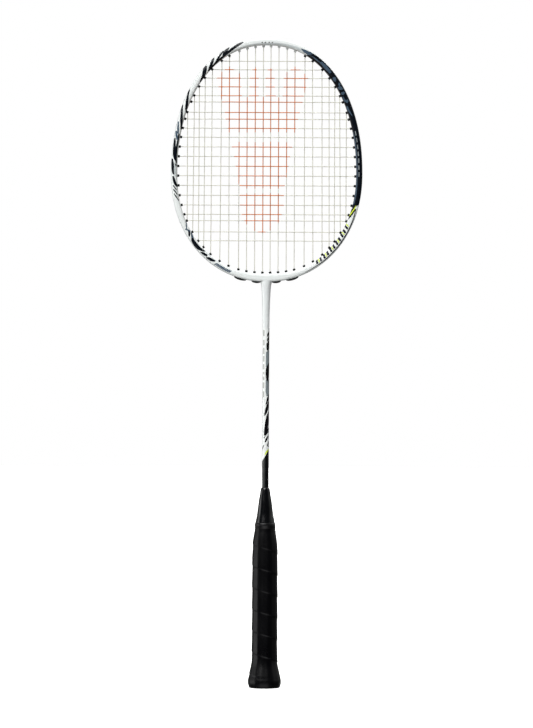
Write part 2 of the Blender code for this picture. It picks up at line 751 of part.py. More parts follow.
def saddle_section(share):
    """The saddle's section, standing proudest half way along and tapering to both ends."""
    rise = math.sqrt(max(0.0, 1.0 - (2.0 * share - 1.0) ** 2))
    top = -(SADDLE_END_PROUD + (SADDLE_PROUD - SADDLE_END_PROUD) * rise)
    half = (
        (FLANGE_UNDERSIDE, SADDLE_HALF_WIDTH), (top + SADDLE_SHOULDER_DROP, SADDLE_HALF_WIDTH),
        (top, mean(SADDLE_HALF_WIDTH, SADDLE_CHANNEL_HALF)), (top, SADDLE_CHANNEL_HALF),
        (SADDLE_FLOOR, SADDLE_CHANNEL_HALF),
    )
    return list(half) + [(inset, -y) for inset, y in reversed(half)]


def build_throat_saddle(name, holes, material):
    """A block in the groove with a channel for the string and cheeks on each side of it."""
    start, end = span_of(holes, SADDLE_OVERHANG)
    rings = []
    for share in np.linspace(0.0, 1.0, SADDLE_STATIONS):
        rings.append(rim_ring(start + (end - start) * share, saddle_section(share)))
    block = loft(name, rings, False, material)
    add_barrels(block, holes, mean(FLANGE_UNDERSIDE, SADDLE_FLOOR))


def build_grommets(materials):
    material = materials["grommet"]
    for side in ("L", "R"):
        holes = HOLES[side]
        for main in range(1, 6):
            build_single_grommet(f"grommet_head_m{main}_{side}", holes[f"top_m{main}"], material)
        for cross in range(8, 19):
            build_single_grommet(f"grommet_side_c{cross}_{side}", holes[f"c{cross}"], material)
        upper = [holes[key] for key in UPPER_STRIP]
        lower = [holes[key] for key in LOWER_STRIP]
        build_grommet_strip(f"grommet_strip_upper_{side}", upper, material)
        build_grommet_strip(f"grommet_strip_lower_{side}", lower, material)
        outer = [holes["bottom_m4"], holes["bottom_m3"]]
        inner = [holes["bottom_m2"], holes["bottom_m1"]]
        build_throat_saddle(f"throat_saddle_outer_{side}", outer, material)
        build_throat_saddle(f"throat_saddle_inner_{side}", inner, material)


# ---------------------------------------------------------------- strings

def main_y(hole):
    """Sideways place of an upright string in its hole; shared holes hold it off the middle."""
    return PAIR_OFFSET if hole["bore"] == SHARED_BORE_RADIUS else 0.0


def cross_y(hole):
    return -main_y(hole)


def groove_run(first, second, y):
    """Along the groove from one hole to the next, between the two bends."""
    start = first["s"]
    end = second["s"]
    if abs(end - start) > 0.5 * RIM_LENGTH:
        end += math.copysign(RIM_LENGTH, start - end)
    forward = math.copysign(TURN_START, end - start)
    inset = first["floor"] - STRING_ABOVE_FLOOR
    count = 1 + max(1, int(math.ceil(abs(end - start) / RUN_STEP)))
    places = np.linspace(start + forward, end - forward, count)
    share = np.linspace(0.0, 1.0, count)
    return [rim_point(s, inset, y(first) + (y(second) - y(first)) * t) for s, t in zip(places, share)]


def turn(first, second, y):
    """Out through one hole, along the groove and in through the next."""
    points = [hole_point(first, first["tip"], y(first))]
    points.append(hole_point(first, first["floor"] - BEND_ABOVE_FLOOR, y(first)))
    points += groove_run(first, second, y)
    points.append(hole_point(second, second["floor"] - BEND_ABOVE_FLOOR, y(second)))
    points.append(hole_point(second, second["tip"], y(second)))
    return points


def stub(hole, y):
    """A tied-off end that comes back inside the head and leans out of the string plane."""
    return [hole_point(hole, hole["tip"] + TIE_STUB, TIE_STUB_LEAN * y(hole))]


def half_main_route(holes):
    """Upright strings on one side, from the tied-off end to the middle of the head."""
    points = stub(holes["c18"], main_y) + turn(holes["c18"], holes["bottom_m11"], main_y)
    for main in range(11, 1, -1):
        end = "top" if main % 2 else "bottom"
        points += turn(holes[f"{end}_m{main}"], holes[f"{end}_m{main - 1}"], main_y)
    return points


def main_route():
    right = half_main_route(HOLES["R"])
    left = half_main_route(HOLES["L"])
    middle = turn(HOLES["R"]["top_m1"], HOLES["L"]["top_m1"], main_y)
    return right + middle + list(reversed(left))


def main_point(side, main, z):
    """Where an upright string is at a given height."""
    low = HOLES[side][f"bottom_m{main}"]
    high = HOLES[side][f"top_m{main}"]
    start = hole_point(low, low["tip"], main_y(low))
    end = hole_point(high, high["tip"], main_y(high))
    return start.lerp(end, (z - start.z) / (end.z - start.z))


def cross_hole(side, cross):
    return HOLES[side][SHARED_CROSS_HOLES.get(cross, f"c{cross}")]


def weave(cross):
    """One level string from left to right, over and under the upright ones."""
    left = cross_hole("L", cross)
    right = cross_hole("R", cross)
    edge = hole_point(right, right["tip"]).x - HOLE_CLEARANCE
    z = hole_point(right, right["tip"]).z
    order = [("L", main) for main in range(len(MAINS), 0, -1)]
    order += [("R", main) for main in range(1, len(MAINS) + 1)]
    points = [hole_point(left, left["tip"], cross_y(left))]
    for index, (side, main) in enumerate(order):
        point = main_point(side, main, z)
        if abs(point.x) < edge:
            rise = WEAVE_HEIGHT if (index + cross) % 2 else -WEAVE_HEIGHT
            points.append(Vector((point.x, point.y + rise, z)))
    points.append(hole_point(right, right["tip"], cross_y(right)))
    return points


def cross_route():
    start = HOLES["L"]["top_m5"]
    finish = HOLES["R"]["bottom_m8"]
    points = stub(start, cross_y) + turn(start, cross_hole("L", 1), cross_y)
    for cross in range(1, len(CROSSES) + 1):
        line = weave(cross)
        far = "R"
        if cross % 2 == 0:
            line.reverse()
            far = "L"
        points += line[1:-1]
        if cross < len(CROSSES):
            points += turn(cross_hole(far, cross), cross_hole(far, cross + 1), cross_y)
    return points + turn(cross_hole("R", len(CROSSES)), finish, cross_y) + stub(finish, cross_y)


def string_rings(points, sides):
    """Rings along a route that never runs along Y, kept full width round each bend."""
    rings = []
    for index, point in enumerate(points):
        before = (point - points[max(index - 1, 0)]).normalized()
        after = (points[min(index + 1, len(points) - 1)] - point).normalized()
        tangent = (before + after).normalized()
        widening = 1.0 / max(0.8, tangent.dot(after if after.length else before))
        across = Vector((0.0, 1.0, 0.0))
        across = (across - tangent * across.dot(tangent)).normalized()
        along = tangent.cross(across) * widening
        ring = []
        for side in range(sides):
            angle = 2 * math.pi * side / sides
            ring.append(point + (across * math.cos(angle) + along * math.sin(angle)) * STRING_RADIUS)
        rings.append(ring)
    return rings


def build_strings(materials):
    loft("main_string", string_rings(main_route(), MAIN_SIDES), False, materials["string"])
    loft("cross_string", string_rings(cross_route(), CROSS_SIDES), False, materials["string"])


# ---------------------------------------------------------------- assembly

def clear_scene():
    for obj in list(bpy.data.objects):
        bpy.data.objects.remove(obj, do_unlink=True)


def build_racket():
    root = bpy.data.objects.new(ROOT_NAME, None)
    bpy.context.scene.collection.objects.link(root)
    materials = make_materials()
    build_head_frame(materials)
    build_t_joint(materials)
    build_throat_sleeve(materials)
    build_shaft(materials)
    build_cone_cap(materials)
    build_handle_core(materials)
    build_butt_cap(materials)
    build_grip_wrap(materials)
    build_grip_finishing_tape(materials)
    build_grommets(materials)
    build_strings(materials)


clear_scene()
build_racket()
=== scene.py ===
import math

import bmesh
import bpy
import numpy as np
from mathutils import Matrix, Vector


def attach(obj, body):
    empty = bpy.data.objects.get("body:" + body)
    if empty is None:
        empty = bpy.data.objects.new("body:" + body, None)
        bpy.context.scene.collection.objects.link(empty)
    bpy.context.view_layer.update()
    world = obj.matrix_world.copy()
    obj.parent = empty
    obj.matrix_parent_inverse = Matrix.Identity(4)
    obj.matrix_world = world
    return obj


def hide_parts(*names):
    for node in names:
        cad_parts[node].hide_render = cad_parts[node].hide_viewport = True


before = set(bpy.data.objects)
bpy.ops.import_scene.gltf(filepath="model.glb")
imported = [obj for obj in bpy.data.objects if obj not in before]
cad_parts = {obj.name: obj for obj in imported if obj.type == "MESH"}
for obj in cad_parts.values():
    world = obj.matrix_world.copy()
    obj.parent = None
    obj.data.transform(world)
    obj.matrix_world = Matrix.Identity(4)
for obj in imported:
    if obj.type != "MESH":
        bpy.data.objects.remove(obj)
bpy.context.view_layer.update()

MM = 0.001
TAU = 2.0 * math.pi

# ---------------------------------------------------------------- sizes of the CAD model, in metres

RACKET_LENGTH = 0.675
HEAD_HALF_WIDTH = 0.0995
HEAD_WIDEST_Z = 0.5340
HEAD_DROP = 0.1119
TOP_EXPONENT = 2.16
BOTTOM_EXPONENT = 2.10
OUTLINE_SAMPLES = 7200
RIM_WIDTH = 0.0065
RIM_EXTRA_TOP = 0.0005
RIM_EXTRA_THROAT = 0.0020
RIM_TOP_POWER = 4
RIM_THROAT_POWER = 20
RIM_HALF_DEPTH = 0.0051
MAINS = (0.0039, 0.0122, 0.0206, 0.0289, 0.0392, 0.0484, 0.0579, 0.0652, 0.0711, 0.0764, 0.0834)
CROSSES = (
    0.6524, 0.6435, 0.6348, 0.6258, 0.6173, 0.6089, 0.6007, 0.5911, 0.5816, 0.5722, 0.5622,
    0.5522, 0.5421, 0.5321, 0.5220, 0.5118, 0.5017, 0.4920, 0.4835, 0.4744, 0.4640,
)
STRING_RADIUS = 0.00040
WEAVE_HEIGHT = 0.00083
PAIR_OFFSET = 0.00045
TURN_START = 0.00045
TIE_STUB = 0.0018
TIE_STUB_LEAN = 3.0
HOLE_CLEARANCE = 0.0020
BARREL_RADIUS = 0.00135
BORE_RADIUS = 0.00065
SHARED_BORE_RADIUS = 0.00105
TIP_LENGTH = 0.0012
TIP_SHOW = 0.0008
FLANGE_RADIUS = 0.0021
FLANGE_UNDERSIDE = 0.00134
FLANGE_FLOOR = 0.00089
STRIP_HALF_WIDTH = 0.0020
STRIP_OVERHANG = 0.0022
STRING_ABOVE_FLOOR = 0.00039
BEND_ABOVE_FLOOR = 0.00014
SADDLE_FLOOR = 0.0005
SADDLE_PROUD = 0.0019
SADDLE_END_PROUD = 0.0002
SADDLE_SHOULDER_DROP = 0.0006
SADDLE_HALF_WIDTH = 0.0020
SADDLE_CHANNEL_HALF = 0.0006
SADDLE_OVERHANG = 0.0019
CENTRE_HOLE_EXIT = 0.0077
SLEEVE_PROFILE = (
    (0.3746, 0.00355), (0.3850, 0.00366), (0.3950, 0.00390), (0.4048, 0.00425),
    (0.4104, 0.00450), (0.4162, 0.00490), (0.4195, 0.00535), (0.4218, 0.00605), (0.4240, 0.00720),
)
SLEEVE_FLAT_POWER = 3
SHAFT_RADIUS = 0.00355
SHAFT_TENON_RADIUS = 0.0030
SHAFT_BOTTOM_Z = 0.080
SHAFT_SHOULDER_Z = 0.3744
SHAFT_TOP_Z = 0.4184
GRIP_PROFILE = (
    (0.0079, 0.0173), (0.0131, 0.0162), (0.0183, 0.0151), (0.0235, 0.0140), (0.0287, 0.0134),
    (0.1379, 0.0133), (0.1483, 0.0129), (0.1535, 0.0125), (0.1587, 0.0119), (0.1655, 0.0108),
)
BUTT_EDGE = ((0.0, 0.0145), (0.0004, 0.0154), (0.0015, 0.0163), (0.0045, 0.0172))
GRIP_FLATTENING = 0.94
ROUNDING_Z = (0.150, 0.1655)
CORNER_CUT = 0.22
WRAP_PITCH = 0.0225
WRAP_START_Z = 0.0040
WRAP_LOW = -0.00020
WRAP_HIGH = 0.00025
TAPE_Z = (0.1656, 0.1716)
CAP_HALF = 0.0117
CAP_THICKNESS = 0.0017
CONE_PROFILE = (
    (0.1716, 0.00985), (0.1720, 0.0100), (0.1743, 0.0096), (0.1795, 0.0086), (0.1847, 0.0079),
    (0.1899, 0.0073), (0.1951, 0.0066), (0.2003, 0.0057), (0.2055, 0.0049), (0.2074, 0.0044),
    (0.2080, 0.0040),
)

# ---------------------------------------------------------------- fineness of the visual pieces

RIM_RINGS = 1080
SECTION_STEPS = 2
ROUND_SIDES = 64
GRIP_SIDES = 120
GRIP_STEP = 0.0006
SHAFT_STEP = 0.0006
STRING_STEP = 0.0008
STRING_SMOOTHING = 0.0007
STRING_SIDES = 8
GROMMET_SIDES = 20
SADDLE_STATIONS = 28
STRIP_STEP = 0.0020
GROOVE_STEP = 0.0015


# ---------------------------------------------------------------- node helpers

class Look:
    """One procedural material under construction."""

    def __init__(self, name, roughness=0.5, coat=0.0, coat_roughness=0.1, specular=0.5):
        self.material = bpy.data.materials.new(name)
        self.material.use_nodes = True
        self.tree = self.material.node_tree
        self.shader = self.tree.nodes["Principled BSDF"]
        self.set("Roughness", roughness)
        self.set("Coat Weight", coat)
        self.set("Coat Roughness", coat_roughness)
        self.set("Specular IOR Level", specular)
        self.place = self.add("ShaderNodeTexCoord").outputs["Object"]

    def set(self, socket, value):
        self.shader.inputs[socket].default_value = value

    def add(self, kind):
        return self.tree.nodes.new(kind)

    def link(self, source, target):
        self.tree.links.new(source, target)

    def feed(self, socket, value):
        """A socket gets a link from another socket, or a plain value."""
        if isinstance(value, bpy.types.NodeSocket):
            self.link(value, socket)
        else:
            socket.default_value = value

    def noise(self, scale, detail=3.0, stretch=None):
        node = self.add("ShaderNodeTexNoise")
        node.inputs["Scale"].default_value = scale
        node.inputs["Detail"].default_value = detail
        source = self.place
        if stretch:
            mapping = self.add("ShaderNodeMapping")
            mapping.inputs["Scale"].default_value = stretch
            self.link(source, mapping.inputs["Vector"])
            source = mapping.outputs["Vector"]
        self.link(source, node.inputs["Vector"])
        return node.outputs["Fac"]

    def cells(self, scale):
        node = self.add("ShaderNodeTexVoronoi")
        node.inputs["Scale"].default_value = scale
        self.link(self.place, node.inputs["Vector"])
        return node.outputs["Distance"]

    def remap(self, value, low, high, to_low, to_high):
        node = self.add("ShaderNodeMapRange")
        self.link(value, node.inputs["Value"])
        names = ("From Min", "From Max", "To Min", "To Max")
        for name, number in zip(names, (low, high, to_low, to_high)):
            node.inputs[name].default_value = number
        return node.outputs["Result"]

    def math(self, operation, first, second=0.0):
        node = self.add("ShaderNodeMath")
        node.operation = operation
        self.feed(node.inputs[0], first)
        self.feed(node.inputs[1], second)
        return node.outputs["Value"]

    def mix(self, factor, first, second):
        node = self.add("ShaderNodeMix")
        node.data_type = 'RGBA'
        self.feed(node.inputs["Factor"], factor)
        self.feed(node.inputs[6], first)
        self.feed(node.inputs[7], second)
        return node.outputs[2]

    def attribute(self, name):
        """The three numbers that a mesh keeps at each point under one name."""
        stored = self.add("ShaderNodeAttribute")
        stored.attribute_name = name
        node = self.add("ShaderNodeSeparateXYZ")
        self.link(stored.outputs["Vector"], node.inputs["Vector"])
        return node.outputs

    def colour(self, value):
        self.link(value, self.shader.inputs["Base Color"])

    def roughness(self, value):
        self.link(value, self.shader.inputs["Roughness"])

    def uneven_roughness(self, value, smooth, rough):
        """Roughness that drifts between two values with a noise."""
        self.roughness(self.remap(value, 0.3, 0.7, smooth, rough))

    def flecks(self, spread, most, first, second):
        """A fine metallic speckle of the second colour in the first."""
        share = self.remap(self.noise(FLAKE_SCALE, 1.0), *spread, 0.0, most)
        return self.mix(share, first, second)

    def bump(self, height, strength, distance, under=None):
        node = self.add("ShaderNodeBump")
        node.inputs["Strength"].default_value = strength
        node.inputs["Distance"].default_value = distance
        self.link(height, node.inputs["Height"])
        if under is not None:
            self.link(under, node.inputs["Normal"])
        self.link(node.outputs["Normal"], self.shader.inputs["Normal"])
        return node.outputs["Normal"]


def rgb(red, green, blue):
    """A display colour from 0 to 255 as linear light."""
    linear = []
    for value in (red, green, blue):
        share = value / 255.0
        linear.append(share / 12.92 if share <= 0.04045 else ((share + 0.055) / 1.055) ** 2.4)
    return (*linear, 1.0)


# ---------------------------------------------------------------- mesh helpers

def grid_faces(rings, sides, along=False, start=0):
    """Quads between rings of points, joined end to end or with a flat face at each end."""
    faces = []
    for ring in range(rings if along else rings - 1):
        low = start + ring * sides
        high = start + ((ring + 1) % rings) * sides
        for side in range(sides):
            other = (side + 1) % sides
            faces.append((low + side, low + other, high + other, high + side))
    if not along:
        faces.append(tuple(range(start, start + sides)))
        faces.append(tuple(range(start + (rings - 1) * sides, start + rings * sides)))
    return faces


class Shell:
    """Points and faces of one piece, gathered from several closed skins."""

    def __init__(self):
        self.points = []
        self.faces = []

    def add(self, rings, along=False):
        """rings is an array of rings, each an array of points."""
        rings = np.asarray(rings, dtype=float)
        self.faces += grid_faces(rings.shape[0], rings.shape[1], along, len(self.points))
        self.points += rings.reshape(-1, 3).tolist()


def add_piece(name, shell, material, replaced, sharp=40.0, attributes=None):
    mesh = bpy.data.meshes.new(name)
    mesh.from_pydata(shell.points, [], shell.faces)
    builder = bmesh.new()
    builder.from_mesh(mesh)
    bmesh.ops.recalc_face_normals(builder, faces=builder.faces)
    builder.to_mesh(mesh)
    builder.free()
    mesh.shade_smooth()
    mesh.set_sharp_from_angle(angle=math.radians(sharp))
    for key, values in (attributes or {}).items():
        layer = mesh.attributes.new(key, 'FLOAT_VECTOR', 'POINT')
        layer.data.foreach_set("vector", np.asarray(values, dtype=np.float32).ravel())
    mesh.materials.append(material)
    piece = bpy.data.objects.new(name, mesh)
    bpy.context.scene.collection.objects.link(piece)
    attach(piece, "root")
    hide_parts(*replaced)
    return piece


def smooth_rows(rows, steps):
    """A smooth curve through rows of numbers, with a number of steps to each span."""
    rows = np.asarray(rows, dtype=float)
    padded = np.vstack((2 * rows[:1] - rows[1:2], rows, 2 * rows[-1:] - rows[-2:-1]))
    before, first, second, after = (padded[i:len(padded) - 3 + i, None, :] for i in range(4))
    t = (np.arange(steps) / steps)[None, :, None]
    curve = 0.5 * (
        2 * first + (second - before) * t + (2 * before - 5 * first + 4 * second - after) * t ** 2
        + (3 * first - before - 3 * second + after) * t ** 3
    )
    return np.vstack((curve.reshape(-1, rows.shape[1]), rows[-1:]))


def lathe(profile, flat=None):
    """Rings of a turned shape from rows of height and radius; flat gives the depth for a row."""
    angles = TAU * (np.arange(ROUND_SIDES) + 0.5) / ROUND_SIDES
    rings = []
    for z, radius in profile:
        depth = radius if flat is None else flat(z, radius)
        rings.append(np.stack((
            radius * np.cos(angles), depth * np.sin(angles), np.full(ROUND_SIDES, z),
        ), axis=1))
    return np.array(rings)


# ---------------------------------------------------------------- rim path, as in the CAD model

def outline_xz(angle):
    across = math.cos(angle)
    up = math.sin(angle)
    power = 2.0 / (TOP_EXPONENT if up >= 0 else BOTTOM_EXPONENT)
    reach = (RACKET_LENGTH - HEAD_WIDEST_Z) if up >= 0 else HEAD_DROP
    x = HEAD_HALF_WIDTH * math.copysign(abs(across) ** power, across)
    z = HEAD_WIDEST_Z + reach * math.copysign(abs(up) ** power, up)
    return x, z


def rim_width(z):
    height = np.asarray(z, dtype=float) - HEAD_WIDEST_Z
    above = np.clip(height / (RACKET_LENGTH - HEAD_WIDEST_Z), 0.0, 1.0)
    below = np.clip(-height / HEAD_DROP, 0.0, 1.0)
    extra = RIM_EXTRA_TOP * above ** RIM_TOP_POWER
    return RIM_WIDTH + extra + RIM_EXTRA_THROAT * below ** RIM_THROAT_POWER


def make_rim_table():
    angles = np.linspace(0.5 * math.pi, -1.5 * math.pi, OUTLINE_SAMPLES + 1)
    points = np.array([outline_xz(angle) for angle in angles])
    points[0, 0] = 0.0
    points[-1] = points[0]
    steps = np.hypot(*np.diff(points, axis=0).T)
    length = np.concatenate(([0.0], np.cumsum(steps)))
    chords = np.roll(points[:-1], -1, axis=0) - np.roll(points[:-1], 1, axis=0)
    chords = np.vstack((chords, chords[:1]))
    chords /= np.hypot(chords[:, 0], chords[:, 1])[:, None]
    return {
        "s": length, "x": points[:, 0], "z": points[:, 1],
        "nx": -chords[:, 1], "nz": chords[:, 0],
    }


RIM = make_rim_table()
RIM_LENGTH = float(RIM["s"][-1])


def rim_values(s):
    s = np.asarray(s, dtype=float) % RIM_LENGTH
    return [np.interp(s, RIM["s"], RIM[key]) for key in ("x", "z", "nx", "nz")]


def rim_point(s, inset, y):
    x, z, nx, nz = rim_values(s)
    return Vector((float(x - nx * inset), y, float(z - nz * inset)))


def rim_ring(s, section):
    """A ring of points at one place on the rim, from rows of inset and depth."""
    x, z, nx, nz = rim_values(s)
    inset, depth = np.asarray(section, dtype=float).T
    return np.stack((x - nx * inset, depth, z - nz * inset), axis=1)


def tip_loop():
    half = OUTLINE_SAMPLES // 2 + 1
    reach = rim_width(RIM["z"][:half]) + TIP_LENGTH
    x = RIM["x"][:half] - RIM["nx"][:half] * reach
    z = RIM["z"][:half] - RIM["nz"][:half] * reach
    return RIM["s"][:half], x, z


TIP_S, TIP_X, TIP_Z = tip_loop()
TIP_WIDEST = int(np.argmax(TIP_X))


def s_at_top(x):
    return float(np.interp(x, TIP_X[:TIP_WIDEST], TIP_S[:TIP_WIDEST]))


def s_at_bottom(x):
    return float(np.interp(-x, -TIP_X[TIP_WIDEST:], TIP_S[TIP_WIDEST:]))


def s_at_height(z):
    return float(np.interp(-z, -TIP_Z, TIP_S))


def s_of_outline_bottom(x):
    half = OUTLINE_SAMPLES // 2 + 1
    widest = int(np.argmax(RIM["x"][:half]))
    return float(np.interp(-x, -RIM["x"][widest:half], RIM["s"][widest:half]))


# ---------------------------------------------------------------- string holes, as in the CAD model

def make_hole(s, side, bore, floor=FLANGE_FLOOR):
    place = s if side > 0 else RIM_LENGTH - s
    outer = rim_point(place, 0.0, 0.0)
    depth = float(rim_width(outer.z)) + TIP_LENGTH
    inward = (rim_point(place, depth, 0.0) - outer).normalized()
    return {"s": place, "outer": outer, "inward": inward, "tip": depth, "bore": bore, "floor": floor}


def make_centre_hole(side):
    exit_s = s_of_outline_bottom(CENTRE_HOLE_EXIT)
    tip_s = s_at_bottom(MAINS[0])
    place = exit_s if side > 0 else RIM_LENGTH - exit_s
    tip_place = tip_s if side > 0 else RIM_LENGTH - tip_s
    outer = rim_point(place, 0.0, 0.0)
    reach = float(rim_width(rim_point(tip_place, 0.0, 0.0).z)) + TIP_LENGTH
    path = rim_point(tip_place, reach, 0.0) - outer
    return {
        "s": place, "outer": outer, "inward": path.normalized(), "tip": path.length,
        "bore": BORE_RADIUS, "floor": SADDLE_FLOOR,
    }


def mean(*values):
    return sum(values) / len(values)


# Holes that a main and a cross share, as pairs of main and cross
TOP_SHARED = ((6, 1), (7, 2), (8, 3), (9, 4), (10, 5), (11, 7))
BOTTOM_SHARED = ((11, 19), (10, 20), (9, 21))
SHARED_CROSS_HOLES = {cross: f"top_m{main}" for main, cross in TOP_SHARED}
SHARED_CROSS_HOLES.update({cross: f"bottom_m{main}" for main, cross in BOTTOM_SHARED})
UPPER_STRIP = (*(f"top_m{main}" for main in range(6, 11)), "c6", "top_m11")
LOWER_STRIP = tuple(f"bottom_m{main}" for main in range(11, 4, -1))


def side_holes(side):
    holes = {}
    for main in range(1, 6):
        bore = SHARED_BORE_RADIUS if main == 5 else BORE_RADIUS
        holes[f"top_m{main}"] = make_hole(s_at_top(MAINS[main - 1]), side, bore)
    for main, cross in TOP_SHARED:
        s = mean(s_at_top(MAINS[main - 1]), s_at_height(CROSSES[cross - 1]))
        holes[f"top_m{main}"] = make_hole(s, side, SHARED_BORE_RADIUS)
    holes["c6"] = make_hole(s_at_height(CROSSES[5]), side, SHARED_BORE_RADIUS)
    for cross in range(8, 19):
        bore = SHARED_BORE_RADIUS if cross == 18 else BORE_RADIUS
        holes[f"c{cross}"] = make_hole(s_at_height(CROSSES[cross - 1]), side, bore)
    for main, cross in BOTTOM_SHARED:
        s = mean(s_at_bottom(MAINS[main - 1]), s_at_height(CROSSES[cross - 1]))
        holes[f"bottom_m{main}"] = make_hole(s, side, SHARED_BORE_RADIUS)
    for main in (8, 7, 6, 5):
        bore = SHARED_BORE_RADIUS if main == 8 else BORE_RADIUS
        holes[f"bottom_m{main}"] = make_hole(s_at_bottom(MAINS[main - 1]), side, bore)
    for main in (4, 3, 2):
        s = s_at_bottom(MAINS[main - 1])
        holes[f"bottom_m{main}"] = make_hole(s, side, BORE_RADIUS, SADDLE_FLOOR)
    holes["bottom_m1"] = make_centre_hole(side)
    return holes


HOLES = {"R": side_holes(1), "L": side_holes(-1)}


def hole_point(hole, depth, y=0.0):
    return hole["outer"] + hole["inward"] * depth + Vector((0.0, y, 0.0))


def hole_ring(hole, depth, radius):
    centre = hole_point(hole, depth)
    across = Vector((0.0, 1.0, 0.0))
    along = hole["inward"].cross(across)
    ring = []
    for side in range(GROMMET_SIDES):
        angle = TAU * side / GROMMET_SIDES
        ring.append(centre + (across * math.cos(angle) + along * math.sin(angle)) * radius)
    return ring


# ---------------------------------------------------------------- painted marks

FAR = 9.0
MARK_REACH = 4.0


def span_distance(u, v, u0, v0, u1, v1):
    """Share along a span where it comes nearest to each point, and the distance there."""
    du = u1 - u0
    dv = v1 - v0
    t = np.clip(((u - u0) * du + (v - v0) * dv) / (du * du + dv * dv), 0.0, 1.0)
    return t, np.hypot(u - u0 - t * du, v - v0 - t * dv)


def stroke_distance(u, v, points):
    """Signed distance in millimetres to a stroke given as rows of place, place and half width."""
    best = np.full(u.shape, FAR)
    for (u0, v0, r0), (u1, v1, r1) in zip(points, points[1:]):
        t, distance = span_distance(u, v, u0, v0, u1, v1)
        best = np.minimum(best, distance - (r0 + t * (r1 - r0)))
    return best


def area_distance(u, v, corners):
    """Signed distance in millimetres to a filled outline."""
    best = np.full(u.shape, FAR)
    inside = np.zeros(u.shape, dtype=bool)
    for (u0, v0), (u1, v1) in zip(corners, corners[1:] + corners[:1]):
        best = np.minimum(best, span_distance(u, v, u0, v0, u1, v1)[1])
        if v1 != v0:
            inside ^= ((v0 > v) != (v1 > v)) & (u < u0 + (v - v0) * (u1 - u0) / (v1 - v0))
    return np.where(inside, -best, best)


def mark_distance(u, v, marks):
    """Nearest of several marks; a mark's rows have three numbers in a stroke, two in an area."""
    result = np.full(u.shape, FAR)
    for rows in marks:
        low = min(row[0] for row in rows) - MARK_REACH
        high = max(row[0] for row in rows) + MARK_REACH
        near = (u > low) & (u < high)
        if not near.any():
            continue
        measure = stroke_distance if len(rows[0]) == 3 else area_distance
        result[near] = np.minimum(result[near], measure(u[near], v[near], list(rows)))
    return result


def ticks(start, end, step, low, high, lean, half):
    """A row of short slanted strokes."""
    marks = []
    place = start
    while place <= end:
        marks.append(((place, low, half), (place + lean, high, half)))
        place += step
    return marks


def bars(places, low, high):
    """Upright blocks between pairs of places, as small filled outlines."""
    return [((a, low), (b, low), (b, high), (a, high)) for a, b in places]


# Marks on the rim: millimetres along the outline from the top, then millimetres in from its edge.
LEFT_BLACK = [
    ((26.0, 1.0, 0.25), (29.5, 1.4, 0.70), (35.0, 2.4, 1.00), (42.0, 3.9, 0.80), (51.0, 5.2, 0.55),
     (63.0, 5.8, 0.28)),
    ((42.0, 0.8, 0.35), (46.5, 1.9, 1.05), (49.5, 3.6, 1.05), (51.5, 5.1, 0.60)),
    ((49.0, 0.8, 0.25), (54.0, 2.3, 0.50), (60.0, 4.5, 0.45), (64.0, 5.7, 0.32), (70.0, 6.0, 0.25)),
    ((61.5, 0.7, 0.45), (64.5, 2.1, 0.95), (68.5, 4.0, 0.85), (71.5, 5.5, 0.90), (74.0, 6.0, 0.4)),
    ((73.2, 0.9, 0.9), (76.0, 2.3, 1.60), (79.0, 3.7, 1.45), (82.5, 5.3, 0.95), (89.0, 6.0, 0.3)),
    ((103.0, 0.4, 0.2), (108.0, 1.5, 0.42), (113.0, 2.9, 0.80), (118.5, 4.4, 0.90), (122.5, 5.5, 0.75),
     (125.5, 6.3, 0.3)),
    ((120.5, 0.4, 0.2), (126.0, 1.6, 0.60), (131.0, 3.0, 0.80), (136.0, 4.2, 0.95), (140.5, 5.3, 0.6),
     (145.0, 6.3, 0.4)),
    ((156.5, 1.5, 0.35), (162.0, 1.9, 0.62), (168.0, 2.5, 1.20), (173.0, 3.2, 1.40), (178.0, 4.3, 0.95),
     (184.0, 5.1, 0.35)),
    ((151.0, 4.8, 0.25), (160.0, 4.8, 0.40), (168.0, 4.6, 0.32), (176.0, 4.9, 0.35)),
    ((178.5, 0.9, 0.55), (184.0, 1.6, 0.90), (190.0, 2.0, 0.80), (193.5, 2.5, 0.3)),
    ((196.3, 2.2, 0.3), (199.0, 2.9, 0.72), (203.0, 4.0, 0.85), (206.5, 5.6, 0.45)),
    ((205.8, 2.0, 0.0), (208.0, 3.4, 0.08), (210.5, 5.0, 0.02)),
    ((209.8, 2.0, 0.0), (212.6, 3.5, 0.10), (215.2, 5.0, 0.02)),
    ((214.4, 2.0, 0.0), (217.6, 3.6, 0.12), (222.0, 5.4, 0.0)),
    ((256.8, 5.2, 0.3), (258.8, 4.2, 0.6), (262.0, 2.6, 0.4)),
    ((260.5, 6.0, 0.25), (264.5, 4.6, 0.5), (268.5, 3.0, 1.2), (272.0, 2.7, 1.5), (277.0, 2.8, 1.5),
     (280.5, 3.5, 1.05), (285.0, 5.3, 0.4)),
    ((283.6, 2.3, 0.4), (286.5, 2.8, 0.90), (290.0, 3.7, 0.55)),
    ((291.8, 2.3, 0.45), (295.0, 2.9, 1.05), (298.0, 3.7, 0.95), (300.5, 4.6, 0.4)),
]
LEFT_SLATE = [
    ((138.5, 1.4, 0.6), (143.0, 2.3, 0.95), (147.0, 3.1, 1.0), (150.5, 3.8, 0.6)),
    ((148.8, 1.5, 0.9), (152.5, 2.4, 1.2), (156.5, 3.8, 0.8)),
    ((254.0, 2.4, 0.7), (256.0, 4.2, 0.8), (258.0, 6.0, 0.7)),
    ((260.8, 6.0, 0.6), (265.5, 4.4, 0.8)),
    ((246.8, 6.3, 0.7), (251.0, 4.9, 0.6), (255.0, 3.3, 0.5)),
]
LEFT_GREY = [
    ((183.0, 4.1, 0.9), (195.0, 4.3, 0.9)),
    ((283.0, 5.7, 0.4), (309.0, 5.9, 0.4)),
    ((0.0, 5.6, 0.7), (22.0, 5.5, 0.5), (40.0, 5.6, 0.1)),
]
